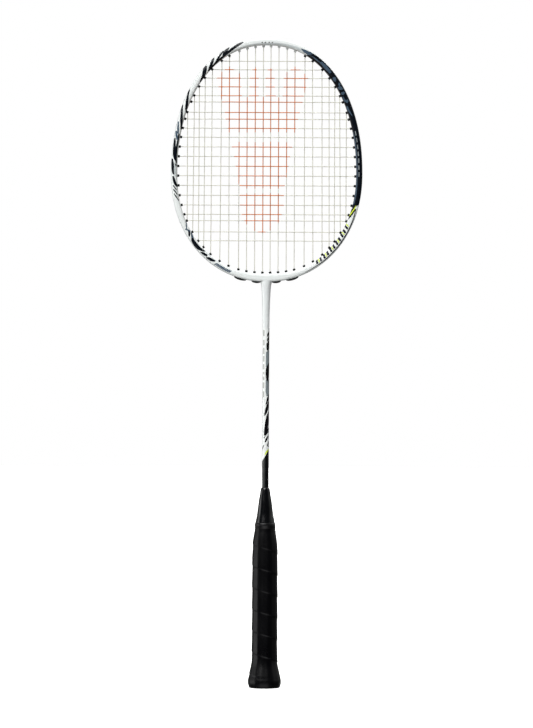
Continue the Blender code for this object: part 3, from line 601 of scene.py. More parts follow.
LEFT_HATCH = ticks(303.0, 320.5, 1.9, 1.8, 3.9, 1.5, 0.62)
LEFT_WHITE = [
    ((281.0, 1.2, 0.20), (284.4, 3.6, 0.32), (287.6, 5.4, 0.30)),
    ((289.4, 1.2, 0.20), (292.4, 3.6, 0.35), (295.6, 5.4, 0.30)),
    ((177.3, 1.8, 0.28), (179.6, 3.4, 0.42), (183.0, 5.4, 0.35)),
    ((193.3, 1.4, 0.3), (196.3, 3.9, 0.5), (198.6, 5.8, 0.4)),
]
RIGHT_BLACK = [
    ((44.0, 2.6), (50.0, 1.8), (60.0, 1.3), (75.0, 0.9), (100.0, 0.5), (112.0, -0.9), (222.0, -0.9),
     (226.0, 1.8), (228.5, 4.6), (230.5, 9.5), (50.0, 9.5), (47.0, 5.8), (49.0, 4.2)),
    ((231.0, 3.0, 0.25), (236.0, 4.3, 0.35), (243.0, 6.9, 0.3)),
    ((228.5, 4.4, 0.3), (237.5, 7.2, 0.35)),
    ((230.0, 2.1, -0.2), (236.0, 1.7, -0.1), (245.0, 1.3, 0.0), (270.0, 1.3, 0.0), (300.0, 1.5, -0.1),
     (318.0, 1.6, -0.3)),
]
RIGHT_SLATE = [
    ((37.0, 3.2), (44.0, 2.0), (52.0, 1.6), (50.0, 3.4), (48.0, 5.6), (42.0, 5.4)),
    ((49.0, 4.2), (58.0, 3.5), (66.0, 3.9), (59.0, 5.0)),
    ((64.0, 1.9), (72.0, 1.5), (79.5, 2.2), (79.0, 4.5), (70.0, 5.2), (63.0, 4.4)),
    ((85.5, 1.6), (88.5, 2.6), (90.0, 4.4), (87.5, 6.0), (84.5, 4.6)),
    ((92.0, 1.4), (95.0, 1.4), (96.5, 3.4), (94.0, 3.6)),
    ((97.0, 2.0), (101.0, 1.4), (100.3, 4.4), (98.0, 6.2), (96.0, 5.4)),
    ((103.6, 1.6), (105.6, 1.8), (106.5, 4.4), (104.5, 5.8), (103.0, 4.6)),
    ((107.5, 4.8), (111.5, 4.4), (113.0, 3.2), (112.0, 1.4), (114.5, 1.6), (116.5, 3.6), (113.0, 6.0),
     (108.0, 6.0)),
    ((118.0, 6.2), (119.5, 4.4), (125.0, 3.8), (131.5, 2.4), (129.0, 4.0), (123.0, 6.2)),
    ((146.0, 5.9), (152.0, 5.2), (200.0, 5.2), (214.0, 4.8), (225.0, 5.2), (227.0, 6.3), (150.0, 6.5)),
]
RIGHT_GREY = [
    ((0.0, 5.6, 0.7), (24.0, 4.9, 1.0), (42.0, 4.2, 1.4), (52.0, 3.6, 1.2)),
    ((318.0, 1.6, 0.25), (339.0, 1.8, 0.22)),
]
RIGHT_DASHES = bars([(147.0 + 7.3 * i, 151.8 + 7.3 * i) for i in range(7)], 3.2, 4.2)
RIGHT_LIME = [
    ((226.6, 2.9, 0.3), (229.0, 3.4, 0.55), (237.5, 6.1, 0.6), (240.0, 6.9, 0.35)),
] + ticks(248.5, 300.0, 10.0, 6.9, 3.1, 1.4, 0.62)
# Plain slanted bars at an even pitch stand where the real racket has lettering
RIGHT_BARS = ticks(251.0, 305.0, 5.0, 6.6, 3.5, 1.4, 0.65)
TOP_DASHES = bars(((1.2, 3.0), (4.6, 6.4)), 3.8, 4.7)


# Black paint spreads this far past its tables, in millimetres
INK_SPREAD = 0.55


def rim_marks(u, v):
    """Distances to the black, slate, grey, white, lime and dash marks at every point."""
    left = u < 0
    result = np.full((6, len(u)), FAR)
    sides = (
        (left, -u, (LEFT_BLACK, LEFT_SLATE + LEFT_HATCH, LEFT_GREY, LEFT_WHITE, [], [])),
        (~left, u, (RIGHT_BLACK + RIGHT_BARS, RIGHT_SLATE, RIGHT_GREY, [], RIGHT_LIME, RIGHT_DASHES)),
    )
    for chosen, along, groups in sides:
        for channel, marks in enumerate(groups):
            result[channel, chosen] = mark_distance(along[chosen], v[chosen], marks)
    result[0] = np.minimum(result[0] - INK_SPREAD, mark_distance(np.abs(u), v, TOP_DASHES))
    return result


# ---------------------------------------------------------------- materials

INK_EDGE = 0.07
FLAKE_SCALE = 5200.0
PEARL_FLECK = rgb(250, 252, 252)
LIME = (rgb(190, 212, 40), rgb(214, 232, 74))


def ink(look, distance, softness=INK_EDGE):
    return look.remap(distance, -softness, softness, 1.0, 0.0)


def make_rim_look():
    look = Look("rim_paint", coat=0.12, coat_roughness=0.06, specular=0.22)
    dark = look.attribute("ink_dark")
    light = look.attribute("ink_light")
    drift = look.noise(26.0, 4.0)
    pearl = look.mix(drift, rgb(224, 229, 227), rgb(233, 237, 235))
    pearl = look.flecks((0.35, 0.75), 0.35, pearl, PEARL_FLECK)
    navy = look.flecks((0.45, 0.8), 0.5, rgb(1, 5, 12), rgb(24, 38, 56))
    slate = look.flecks((0.3, 0.8), 0.7, rgb(52, 68, 84), rgb(92, 112, 130))
    grey = look.mix(drift, rgb(182, 190, 191), rgb(200, 207, 207))
    silver = look.mix(drift, rgb(118, 126, 130), rgb(146, 153, 156))
    # Painted shade: the lip, groove and inner wall darkened towards grey, giving the rim a grey outline
    edge = look.attribute("painted_edge_shade")["X"]
    colour = look.mix(edge, pearl, rgb(138, 147, 150))
    colour = look.mix(ink(look, dark["Z"], 0.5), colour, grey)
    colour = look.mix(ink(look, dark["X"]), colour, navy)
    colour = look.mix(ink(look, dark["Y"]), colour, slate)
    colour = look.mix(ink(look, light["X"]), colour, pearl)
    colour = look.mix(ink(look, light["Z"]), colour, silver)
    lime = look.mix(drift, *LIME)
    look.colour(look.mix(ink(look, light["Y"]), colour, lime))
    look.uneven_roughness(look.noise(180.0), 0.24, 0.36)
    look.bump(look.noise(900.0, 2.0), 0.10, 0.00006)
    return look.material


def make_shaft_look():
    look = Look("shaft_paint", coat=0.35, coat_roughness=0.05, specular=0.3)
    dark = look.attribute("ink_dark")
    light = look.attribute("ink_light")
    drift = look.noise(40.0, 4.0, stretch=(1.0, 1.0, 0.25))
    pearl = look.mix(drift, rgb(230, 234, 232), rgb(240, 243, 241))
    navy = look.flecks((0.45, 0.8), 0.4, rgb(3, 4, 7), rgb(14, 18, 25))
    grey = look.flecks((0.3, 0.8), 0.6, rgb(120, 130, 134), rgb(154, 163, 166))
    pale = look.mix(drift, rgb(166, 169, 165), rgb(180, 183, 178))
    # Grey print marks, and grey strips of painted shade along the right edge
    colour = look.mix(ink(look, dark["Z"]), pearl, grey)
    colour = look.mix(ink(look, light["X"]), colour, pale)
    colour = look.mix(ink(look, dark["X"]), colour, navy)
    # Painted reflection: dark grey over the left half of the black band
    colour = look.mix(ink(look, dark["Y"]), colour, rgb(52, 54, 54))
    lime = look.mix(drift, *LIME)
    look.colour(look.mix(ink(look, light["Y"]), colour, lime))
    look.uneven_roughness(look.noise(220.0), 0.20, 0.30)
    look.bump(look.noise(1000.0, 2.0), 0.08, 0.00005)
    return look.material


def make_plain_paint(name, low, high):
    look = Look(name, coat=0.85, coat_roughness=0.06)
    pearl = look.mix(look.noise(26.0, 4.0), low, high)
    look.colour(look.flecks((0.35, 0.75), 0.35, pearl, PEARL_FLECK))
    look.uneven_roughness(look.noise(180.0), 0.24, 0.36)
    look.bump(look.noise(900.0, 2.0), 0.10, 0.00006)
    return look.material


def make_plastic(name, low, high, rough, grain=1500.0, depth=0.00004, coat=0.0):
    look = Look(name, coat=coat, coat_roughness=0.12, specular=0.2)
    look.colour(look.mix(look.noise(90.0, 4.0), low, high))
    look.uneven_roughness(look.noise(260.0), rough[0], rough[1])
    look.bump(look.noise(grain, 3.0), 0.35, depth)
    return look.material


def make_wood(name):
    look = Look(name)
    grain = look.noise(420.0, 6.0, stretch=(1.0, 1.0, 0.06))
    look.colour(look.mix(grain, rgb(176, 134, 88), rgb(214, 176, 128)))
    look.uneven_roughness(grain, 0.5, 0.75)
    look.bump(grain, 0.4, 0.00012)
    return look.material


def make_grip_look():
    look = Look("grip_polyurethane", specular=0.16)
    wear = look.noise(34.0, 5.0)
    grain = look.noise(1500.0, 5.0)
    pores = look.cells(900.0)
    seam = look.attribute("wrap")
    colour = look.mix(wear, rgb(1, 1, 3), rgb(6, 6, 8))
    # Painted highlight and wear: the raised lower edge of each turn is lighter
    edge = look.remap(seam["X"], 0.0, 0.05, 0.75, 0.0)
    colour = look.mix(edge, colour, rgb(36, 36, 39))
    # Painted shade: darker just under the overlapping edge of the turn above
    shade = look.remap(seam["X"], 0.93, 1.0, 0.0, 0.8)
    look.colour(look.mix(shade, colour, rgb(4, 4, 5)))
    look.uneven_roughness(wear, 0.27, 0.37)
    fine = look.bump(grain, 0.7, 0.00014)
    look.bump(look.remap(pores, 0.0, 0.5, 0.0, 1.0), 0.45, 0.00014, fine)
    return look.material


def make_tape_look():
    look = Look("grip_tape_vinyl", specular=0.3)
    weave = look.noise(900.0, 2.0, stretch=(1.0, 1.0, 3.0))
    look.colour(look.mix(look.noise(60.0), rgb(6, 6, 8), rgb(14, 14, 17)))
    look.uneven_roughness(weave, 0.30, 0.45)
    look.bump(weave, 0.3, 0.00008)
    return look.material


def make_string_look():
    look = Look("string_nylon", coat=0.1, coat_roughness=0.2, specular=0.3)
    where = look.attribute("braid")
    first = look.math('SINE', look.math('ADD', where["X"], where["Y"]))
    second = look.math('SINE', look.math('SUBTRACT', where["X"], where["Y"]))
    braid = look.math('MAXIMUM', first, second)
    raised = look.remap(braid, -0.2, 1.0, 0.0, 1.0)
    # Painted shade in the braid: the raised strands lighter, the grooves between them darker
    fibre = look.mix(raised, rgb(182, 181, 166), rgb(218, 217, 203))
    coral = look.mix(raised, rgb(188, 94, 12), rgb(206, 112, 24))
    patchy = look.math('ADD', where["Z"], look.remap(look.noise(420.0), 0.3, 0.7, -0.6, 0.6))
    look.colour(look.mix(ink(look, patchy, 0.4), fibre, coral))
    look.roughness(look.remap(braid, -0.5, 1.0, 0.5, 0.34))
    look.bump(braid, 0.4, 0.00004)
    return look.material


LOOKS = {
    "rim": make_rim_look(),
    "sleeve": make_plain_paint("sleeve_paint", rgb(222, 227, 226), rgb(233, 237, 236)),
    "shaft": make_shaft_look(),
    "cone": make_plastic("cone_gloss_plastic", rgb(2, 3, 5), rgb(7, 9, 12), (0.16, 0.26), 700.0,
                         0.00003, coat=0.4),
    "cap": make_plastic("butt_plastic", rgb(16, 16, 18), rgb(27, 27, 30), (0.36, 0.52)),
    "grip": make_grip_look(),
    "tape": make_tape_look(),
    "string": make_string_look(),
    "grommet": make_plastic("grommet_black_nylon", rgb(4, 5, 6), rgb(12, 12, 14), (0.34, 0.5)),
    "pale_grommet": make_plastic("grommet_clear_nylon", rgb(204, 207, 205), rgb(222, 225, 223),
                                 (0.34, 0.5)),
    "joint": make_plastic("joint_composite", rgb(30, 30, 33), rgb(52, 52, 56), (0.45, 0.6),
                          500.0, 0.0001),
    "wood": make_wood("handle_hardwood"),
}


# ---------------------------------------------------------------- rim

# Points in the string groove take this place across the rim, clear of every mark
GROOVE_PLACE = -0.3

# Half of the rim's section: inset, share of the width added to it, and depth, in millimetres
HALF_SECTION = (
    (1.40, 0.0, 0.0), (1.40, 0.0, 1.2), (1.34, 0.0, 1.8), (1.00, 0.0, 2.12), (0.45, 0.0, 2.22),
    (0.14, 0.0, 2.34), (0.03, 0.0, 2.62), (0.05, 0.0, 3.05), (0.16, 0.0, 3.55), (0.42, 0.0, 4.02),
    (0.82, 0.0, 4.44), (1.35, 0.0, 4.76), (2.00, 0.0, 4.96), (2.70, 0.0, 5.06), (0.00, 0.5, 5.10),
    (-2.60, 1.0, 5.05), (-1.90, 1.0, 4.88), (-1.30, 1.0, 4.58), (-0.80, 1.0, 4.10),
    (-0.42, 1.0, 3.40), (-0.18, 1.0, 2.60), (-0.05, 1.0, 1.60), (0.00, 1.0, 0.80), (0.00, 1.0, 0.0),
)
GROOVE_POINTS = 6
# Painted shade round the section: groove, lip and outer bevel dark, front face clear, inner wall half
# dark, drawing a grey outline at the rim's edges
LIP_AND_WALL_SHADE = ((0, 0.9), (14, 0.8), (17, 0.2), (20, 0.0), (35, 0.0), (40, 0.2), (43, 0.45), (46, 0.5))


def full_section():
    """Inset, share, depth and paint rows round the whole section; the last column is painted shade on
    the lip, groove and inner wall.
    """
    rows = smooth_rows(HALF_SECTION, SECTION_STEPS)
    lip = np.arange(len(rows)) < GROOVE_POINTS * SECTION_STEPS
    edge_shade = np.interp(np.arange(len(rows)), *zip(*LIP_AND_WALL_SHADE))
    half = np.column_stack((rows, np.where(lip, 1.0, 0.0), edge_shade))
    other = half[-2:0:-1] * (1.0, 1.0, -1.0, 1.0, 1.0)
    return np.vstack((half, other))


def build_rim():
    section = full_section()
    s = RIM_LENGTH * np.arange(RIM_RINGS) / RIM_RINGS
    x, z, nx, nz = rim_values(s)
    width = rim_width(z)
    inset = section[:, 0][None, :] * MM + section[:, 1][None, :] * width[:, None]
    depth = np.broadcast_to(section[:, 2][None, :] * MM, inset.shape)
    across = x[:, None] - nx[:, None] * inset
    up = z[:, None] - nz[:, None] * inset
    u = np.where(s > 0.5 * RIM_LENGTH, s - RIM_LENGTH, s) / MM
    u = np.broadcast_to(u[:, None], inset.shape).ravel()
    v = np.where(section[:, 3][None, :] > 0, GROOVE_PLACE, inset / MM).ravel()
    marks = rim_marks(u, v)
    edge_shade = np.tile(section[:, 4], RIM_RINGS)
    shell = Shell()
    shell.add(np.stack((across, depth, up), axis=2), along=True)
    add_piece("rim", shell, LOOKS["rim"], ["head_frame"], attributes={
        "ink_dark": marks[:3].T, "ink_light": marks[3:].T,
        "painted_edge_shade": np.stack((edge_shade, edge_shade, edge_shade), axis=1),
    })


# ---------------------------------------------------------------- throat sleeve and shaft

def sleeve_depth(z, radius):
    bottom = SLEEVE_PROFILE[0][0]
    top = SLEEVE_PROFILE[-2][0]
    share = min(1.0, (z - bottom) / (top - bottom)) ** SLEEVE_FLAT_POWER
    return radius + (min(RIM_HALF_DEPTH, radius) - radius) * share


def build_sleeve():
    profile = smooth_rows(SLEEVE_PROFILE, 8)
    shell = Shell()
    shell.add(lathe(profile, flat=sleeve_depth))
    add_piece("throat_neck", shell, LOOKS["sleeve"], ["throat_sleeve"])


# Marks on the shaft: millimetres across and up, alike on its front and back. Most are print; one is a
# painted reflection on the black band's left half, and two grey strips along the right edge are painted
# shade.
SHAFT_BLACK = [
    ((-5.0, 195.0), (5.0, 195.0), (5.0, 250.3), (3.4, 247.8), (0.0, 241.2), (-3.7, 235.2),
     (-5.0, 232.8)),
    ((1.1, 367.4), (3.4, 371.2), (3.6, 367.4), (1.3, 364.2)),
    ((0.9, 362.4), (3.4, 366.6), (3.6, 362.4), (1.3, 359.4)),
    ((0.5, 357.4), (3.4, 362.0), (3.6, 354.5), (2.4, 349.2), (0.7, 351.8)),
    ((0.0, 331.0), (1.2, 334.6), (3.6, 339.0), (3.6, 327.0), (2.4, 317.6), (0.5, 320.6),
     (-0.2, 326.0)),
    ((0.1, 295.6), (1.4, 301.6), (3.4, 306.4), (3.4, 300.0), (1.8, 296.0), (0.0, 293.6)),
    ((-1.7, 282.6), (-0.8, 288.2), (0.8, 293.8), (3.6, 299.0), (3.6, 293.0), (1.8, 286.8),
     (0.2, 283.8)),
    ((-1.8, 261.6), (-1.5, 268.0), (-0.6, 275.4), (0.8, 282.4), (3.5, 288.6), (3.5, 279.0), (2.7, 271.0),
     (1.5, 265.2), (0.2, 263.2)),
    ((3.2, 269.5, 0.6), (1.7, 266.5, 0.7), (0.1, 263.0, 0.6)),
    ((-1.6, 259.5, 0.40), (-0.4, 261.5, 0.35), (3.4, 267.0, 0.35)),
    ((2.5, 261.5, 0.6), (1.1, 258.5, 1.1), (-0.3, 255.5, 0.6)),
    ((3.4, 256.0, 0.45), (2.3, 252.0, 0.55), (3.2, 250.5, 0.4)),
    ((-1.9, 252.0, 0.50), (-3.0, 248.6, 0.40)),
]
SHAFT_GREY_PRINT_AND_SHADE = [
    ((0.0, 349.0), (4.0, 351.0), (4.0, 335.0), (0.0, 333.0)),
    ((0.0, 320.5), (4.0, 321.0), (4.0, 304.0), (0.8, 303.0), (-0.2, 309.0)),
    # These two strips are painted shade: grey down the shaft's right edge, the side turned from the
    # light
    ((2.9, 374.0), (4.0, 374.0), (4.0, 352.0), (3.0, 352.0)),
    ((3.1, 309.0), (4.0, 309.0), (4.0, 250.0), (3.2, 250.0)),
]
# Painted reflection: the black band's left half lightened to dark grey, standing for a soft light's
# reflection in the gloss
SHAFT_PAINTED_REFLECTION = [((-5.0, 195.0), (-0.3, 195.0), (-0.3, 240.4), (-3.7, 234.8), (-5.0, 232.4))]
SHAFT_DASHES = [((-3.0, low), (-1.5, low), (-1.5, high), (-3.0, high)) for low, high in (
    (365.5, 372.0), (356.0, 361.5), (347.0, 353.5), (339.0, 345.0), (331.0, 336.5), (325.8, 328.5),
    (319.8, 323.5), (311.5, 317.5), (302.0, 308.5))]
SHAFT_LIME = [((3.6, 248.6, 0.35), (2.4, 246.8, 0.65), (0.0, 243.4, 0.75), (-0.6, 242.2, 0.3))]


def height_marks(u, v, marks):
    """As mark_distance, but with heights first, so that the nearby ones are found by height."""
    return mark_distance(v, u, [tuple((row[1], row[0], *row[2:]) for row in rows) for rows in marks])


def build_shaft():
    heights = [SHAFT_BOTTOM_Z, SHAFT_BOTTOM_Z + 0.0003]
    heights += np.arange(0.200, SHAFT_SHOULDER_Z, SHAFT_STEP).tolist()
    radii = [SHAFT_TENON_RADIUS] + [SHAFT_RADIUS] * (len(heights) - 1)
    heights += [SHAFT_SHOULDER_Z, SHAFT_SHOULDER_Z, SHAFT_TOP_Z]
    radii += [SHAFT_RADIUS, SHAFT_TENON_RADIUS, SHAFT_TENON_RADIUS]
    rings = lathe(zip(heights, radii))
    points = rings.reshape(-1, 3)
    u = points[:, 0] / MM
    v = points[:, 2] / MM
    dark = [height_marks(u, v, marks) for marks in (SHAFT_BLACK, SHAFT_PAINTED_REFLECTION, SHAFT_GREY_PRINT_AND_SHADE)]
    light = [height_marks(u, v, marks) for marks in (SHAFT_DASHES, SHAFT_LIME, [])]
    shell = Shell()
    shell.add(rings)
    add_piece("shaft_tube", shell, LOOKS["shaft"], ["shaft"], attributes={
        "ink_dark": np.transpose(dark), "ink_light": np.transpose(light),
    })


# ---------------------------------------------------------------- handle

def octagon_corners(half_x, half_y):
    slant = math.tan(math.pi / 8)
    corners = [(x * half_x, y * half_y) for x, y in ((1, slant), (slant, 1), (-slant, 1), (-1, slant))]
    corners += [(-x, -y) for x, y in corners]
    points = []
    for index, (x, y) in enumerate(corners):
        for other in (index - 1, (index + 1) % len(corners)):
            ox, oy = corners[other]
            points.append((x + (ox - x) * CORNER_CUT, y + (oy - y) * CORNER_CUT))
    return points


# Softening the corners swells the flats, which this takes back
SWELL = 0.998


def grip_outline(z, half):
    """Distances from the middle of the handle all round at one height, with softened corners."""
    blend = float(np.interp(z, ROUNDING_Z, (0.0, 1.0)))
    half_y = half * (GRIP_FLATTENING + (1.0 - GRIP_FLATTENING) * blend)
    corners = []
    for index, (x, y) in enumerate(octagon_corners(half, half_y)):
        angle = math.pi / 8 * (index + 0.5)
        rx = half * math.cos(angle)
        ry = half_y * math.sin(angle)
        corners.append((x + (rx - x) * blend, y + (ry - y) * blend))
    corners = np.array(corners)
    angles = TAU * np.arange(GRIP_SIDES) / GRIP_SIDES
    direction = np.stack((np.cos(angles), np.sin(angles)), axis=1)
    following = np.roll(corners, -1, axis=0)
    edge = following - corners
    turn_of_edge = corners[:, 0] * edge[:, 1] - corners[:, 1] * edge[:, 0]
    facing = direction[:, :1] * edge[None, :, 1] - direction[:, 1:] * edge[None, :, 0]
    reach = np.where(facing > 1e-9, turn_of_edge[None, :] / np.maximum(facing, 1e-9), np.inf)
    radius = reach.min(axis=1)
    nearest = np.roll(radius, 1) + np.roll(radius, -1)
    return (3 * radius + 2 * nearest + np.roll(radius, 2) + np.roll(radius, -2)) * SWELL / 9.0


GRIP_ROWS = np.array(BUTT_EDGE + GRIP_PROFILE)
SOFTENING = 0.0020


def grip_half(z):
    """Half width of the finished grip, with the profile's bends eased above the butt."""
    if z < GRIP_PROFILE[0][0]:
        return float(np.interp(z, GRIP_ROWS[:, 0], GRIP_ROWS[:, 1]))
    reach = min(SOFTENING, z - GRIP_PROFILE[0][0], max(0.0, GRIP_PROFILE[-1][0] - z))
    samples = z + reach * np.linspace(-1.0, 1.0, 9)
    return float(np.mean(np.interp(samples, GRIP_ROWS[:, 0], GRIP_ROWS[:, 1])))


def handle_ring(z, radius):
    angles = TAU * np.arange(len(radius)) / len(radius)
    return np.stack((radius * np.cos(angles), radius * np.sin(angles), np.full(len(radius), z)), axis=1)


SEAM_RISE = 0.030
WRAP_FADE = 0.0030
WRAP_RANGE = (0.0100, 0.1650)


def wrap_phase(z):
    """Share of a turn above the nearest seam below, all round at one height."""
    share = np.arange(GRIP_SIDES) / GRIP_SIDES
    return ((z - WRAP_START_Z) / WRAP_PITCH + share) % 1.0


def wrap_relief(z):
    """Each turn of the grip lies over the one below, so its lower edge stands out."""
    phase = wrap_phase(z)
    falling = WRAP_HIGH + (WRAP_LOW - WRAP_HIGH) * np.clip(phase * 1.15, 0.0, 1.0) ** 0.8
    rise = np.clip(phase / SEAM_RISE, 0.0, 1.0)
    rise = rise * rise * (3.0 - 2.0 * rise)
    relief = WRAP_LOW + (falling - WRAP_LOW) * rise
    fade = np.clip(min(z - WRAP_RANGE[0], WRAP_RANGE[1] - z) / WRAP_FADE, 0.0, 1.0)
    return relief * fade


def build_grip():
    rings = []
    phases = []
    for z, half in ((0.0017, 0.0116), (0.0003, 0.0118), (0.0, 0.0122), (0.0, 0.0140)):
        rings.append(handle_ring(z, grip_outline(z, half)))
        phases.append(np.full(GRIP_SIDES, 0.5))
    heights = [0.0, 0.00015, 0.0004, 0.0009, 0.0015, 0.0024, 0.0034, 0.0045, 0.0060, 0.0079]
    heights += np.arange(0.0085, GRIP_PROFILE[-1][0], GRIP_STEP).tolist() + [GRIP_PROFILE[-1][0]]
    for z in heights:
        rings.append(handle_ring(z, grip_outline(z, grip_half(z)) + wrap_relief(z)))
        inside = WRAP_RANGE[0] < z < WRAP_RANGE[1]
        phases.append(wrap_phase(z) if inside else np.full(GRIP_SIDES, 0.5))
    for z, half in ((0.1660, 0.0106), (0.1662, 0.0099)):
        rings.append(handle_ring(z, np.full(GRIP_SIDES, half)))
        phases.append(np.full(GRIP_SIDES, 0.5))
    phase = np.concatenate(phases)
    shell = Shell()
    shell.add(np.array(rings))
    add_piece("wound_grip", shell, LOOKS["grip"], ["grip_wrap"], sharp=60.0, attributes={
        "wrap": np.stack((phase, np.zeros_like(phase), np.zeros_like(phase)), axis=1),
    })


def build_tape():
    """Two turns of tape, the upper one lying over the lower one."""
    bottom, top = TAPE_Z
    profile = (
        (bottom + 0.0002, 0.0100), (bottom, 0.01085), (bottom + 0.0002, 0.01095), (0.1684, 0.01078),
        (0.1686, 0.01090), (0.1689, 0.01092), (top - 0.0002, 0.01052), (top, 0.01040),
        (top, 0.0099),
    )
    shell = Shell()
    shell.add(lathe(profile))
    add_piece("finishing_tape", shell, LOOKS["tape"], ["grip_finishing_tape"], sharp=60.0)


def build_butt():
    """The moulded end plate, with a plain raised ring."""
    shell = Shell()
    rings = []
    for z, half in ((CAP_THICKNESS, 0.0116), (0.0004, CAP_HALF), (0.0001, 0.0115), (0.0, 0.0112),
                    (0.0, 0.0100), (0.0002, 0.0098), (0.0005, 0.0096), (0.0005, 0.0002)):
        rings.append(handle_ring(z, grip_outline(z, half)))
    shell.add(np.array(rings))
    ring = ((0.0010, 0.0046), (0.0002, 0.0047), (0.0001, 0.0050), (0.0001, 0.0056), (0.0002, 0.0059),
            (0.0010, 0.0060))
    shell.add(lathe(ring), along=True)
    add_piece("butt_plate", shell, LOOKS["cap"], ["butt_cap"])


def build_cone():
    rows = smooth_rows(CONE_PROFILE, 6).tolist()
    shell = Shell()
    shell.add(lathe([(0.1716, 0.0060)] + rows + [(0.2082, 0.0030)]))
    add_piece("cone", shell, LOOKS["cone"], ["cone_cap"])


# ---------------------------------------------------------------- grommets and saddles

def barrel_profile(hole, start):
    tip = hole["tip"] + TIP_SHOW
    bore = hole["bore"]
    return (
        (start, bore), (tip - 0.0002, bore), (tip, bore + 0.0001), (tip, BARREL_RADIUS - 0.0002),
        (tip - 0.00012, BARREL_RADIUS - 0.00005), (tip - 0.0004, BARREL_RADIUS), (start, BARREL_RADIUS),
    )


def hole_rings(hole, profile):
    rings = [hole_ring(hole, depth, radius) for depth, radius in profile]
    return np.array([[list(point) for point in ring] for ring in rings])


def build_single_grommet(name, hole, material):
    profile = barrel_profile(hole, FLANGE_UNDERSIDE)[1:] + (
        (FLANGE_UNDERSIDE, FLANGE_RADIUS - 0.0001), (FLANGE_UNDERSIDE - 0.0001, FLANGE_RADIUS),
        (FLANGE_FLOOR + 0.0001, FLANGE_RADIUS), (FLANGE_FLOOR, FLANGE_RADIUS - 0.0001),
        (FLANGE_FLOOR, hole["bore"] + 0.0002), (FLANGE_FLOOR + 0.0002, hole["bore"]),
    )
    shell = Shell()
    shell.add(hole_rings(hole, profile), along=True)
    add_piece("fine_" + name, shell, material, [name])


def span_of(holes, overhang):
    places = [hole["s"] for hole in holes]
    return min(places) - overhang, max(places) + overhang


def build_strip(name, holes, material):
    """A thin bar in the groove with a barrel at each hole."""
    edge = 0.00008
    section = (
        (FLANGE_UNDERSIDE, STRIP_HALF_WIDTH), (FLANGE_FLOOR + edge, STRIP_HALF_WIDTH),
        (FLANGE_FLOOR, STRIP_HALF_WIDTH - edge), (FLANGE_FLOOR, -STRIP_HALF_WIDTH + edge),
        (FLANGE_FLOOR + edge, -STRIP_HALF_WIDTH), (FLANGE_UNDERSIDE, -STRIP_HALF_WIDTH),
    )
    start, end = span_of(holes, STRIP_OVERHANG)
    places = np.linspace(start, end, 1 + int(round((end - start) / STRIP_STEP)))
    shell = Shell()
    shell.add([rim_ring(s, section) for s in places])
    for hole in holes:
        shell.add(hole_rings(hole, barrel_profile(hole, FLANGE_UNDERSIDE - edge)), along=True)
    add_piece("fine_" + name, shell, material, [name])


def saddle_section(share):
    rise = math.sqrt(max(0.0, 1.0 - (2.0 * share - 1.0) ** 2))
    top = -(SADDLE_END_PROUD + (SADDLE_PROUD - SADDLE_END_PROUD) * rise)
    ridge = mean(SADDLE_HALF_WIDTH, SADDLE_CHANNEL_HALF)
    half = (
        (FLANGE_UNDERSIDE, SADDLE_HALF_WIDTH), (top + SADDLE_SHOULDER_DROP, SADDLE_HALF_WIDTH),
        (top + 0.35 * SADDLE_SHOULDER_DROP, SADDLE_HALF_WIDTH - 0.0002),
        (top + 0.1 * SADDLE_SHOULDER_DROP, SADDLE_HALF_WIDTH - 0.00045),
        (top, ridge), (top + 0.1 * SADDLE_SHOULDER_DROP, SADDLE_CHANNEL_HALF + 0.0002),
        (top + 0.4 * SADDLE_SHOULDER_DROP, SADDLE_CHANNEL_HALF), (SADDLE_FLOOR, SADDLE_CHANNEL_HALF),
    )
    return list(half) + [(inset, -y) for inset, y in reversed(half)]


def build_saddle(name, holes, material):
    start, end = span_of(holes, SADDLE_OVERHANG)
    shares = 0.5 - 0.5 * np.cos(np.linspace(0.0, math.pi, SADDLE_STATIONS))
    shell = Shell()
    shell.add([rim_ring(start + (end - start) * share, saddle_section(share)) for share in shares])
    for hole in holes:
        shell.add(hole_rings(hole, barrel_profile(hole, SADDLE_FLOOR + 0.0002)), along=True)
    add_piece("fine_" + name, shell, material, [name])


def build_grommets():
    black = LOOKS["grommet"]
    pale = LOOKS["pale_grommet"]
    for side in ("L", "R"):
        holes = HOLES[side]
        for main in range(1, 6):
            material = black if main == 5 else pale
            build_single_grommet(f"grommet_head_m{main}_{side}", holes[f"top_m{main}"], material)
        for cross in range(8, 19):
            build_single_grommet(f"grommet_side_c{cross}_{side}", holes[f"c{cross}"], black)
        build_strip(f"grommet_strip_upper_{side}", [holes[key] for key in UPPER_STRIP], black)
        build_strip(f"grommet_strip_lower_{side}", [holes[key] for key in LOWER_STRIP], black)
        outer = [holes["bottom_m4"], holes["bottom_m3"]]
        inner = [holes["bottom_m2"], holes["bottom_m1"]]
        build_saddle(f"throat_saddle_outer_{side}", outer, black)
        build_saddle(f"throat_saddle_inner_{side}", inner, black)


# ---------------------------------------------------------------- strings, on the CAD model's routes

def main_y(hole):
    return PAIR_OFFSET if hole["bore"] == SHARED_BORE_RADIUS else 0.0


def cross_y(hole):
    return -main_y(hole)


def groove_run(first, second, y):
    start = first["s"]
    end = second["s"]
    if abs(end - start) > 0.5 * RIM_LENGTH:
        end += math.copysign(RIM_LENGTH, start - end)
    forward = math.copysign(TURN_START, end - start)
    inset = first["floor"] - STRING_ABOVE_FLOOR
    count = 1 + max(1, int(math.ceil(abs(end - start) / GROOVE_STEP)))
    places = np.linspace(start + forward, end - forward, count)
    share = np.linspace(0.0, 1.0, count)
    return [rim_point(s, inset, y(first) + (y(second) - y(first)) * t) for s, t in zip(places, share)]


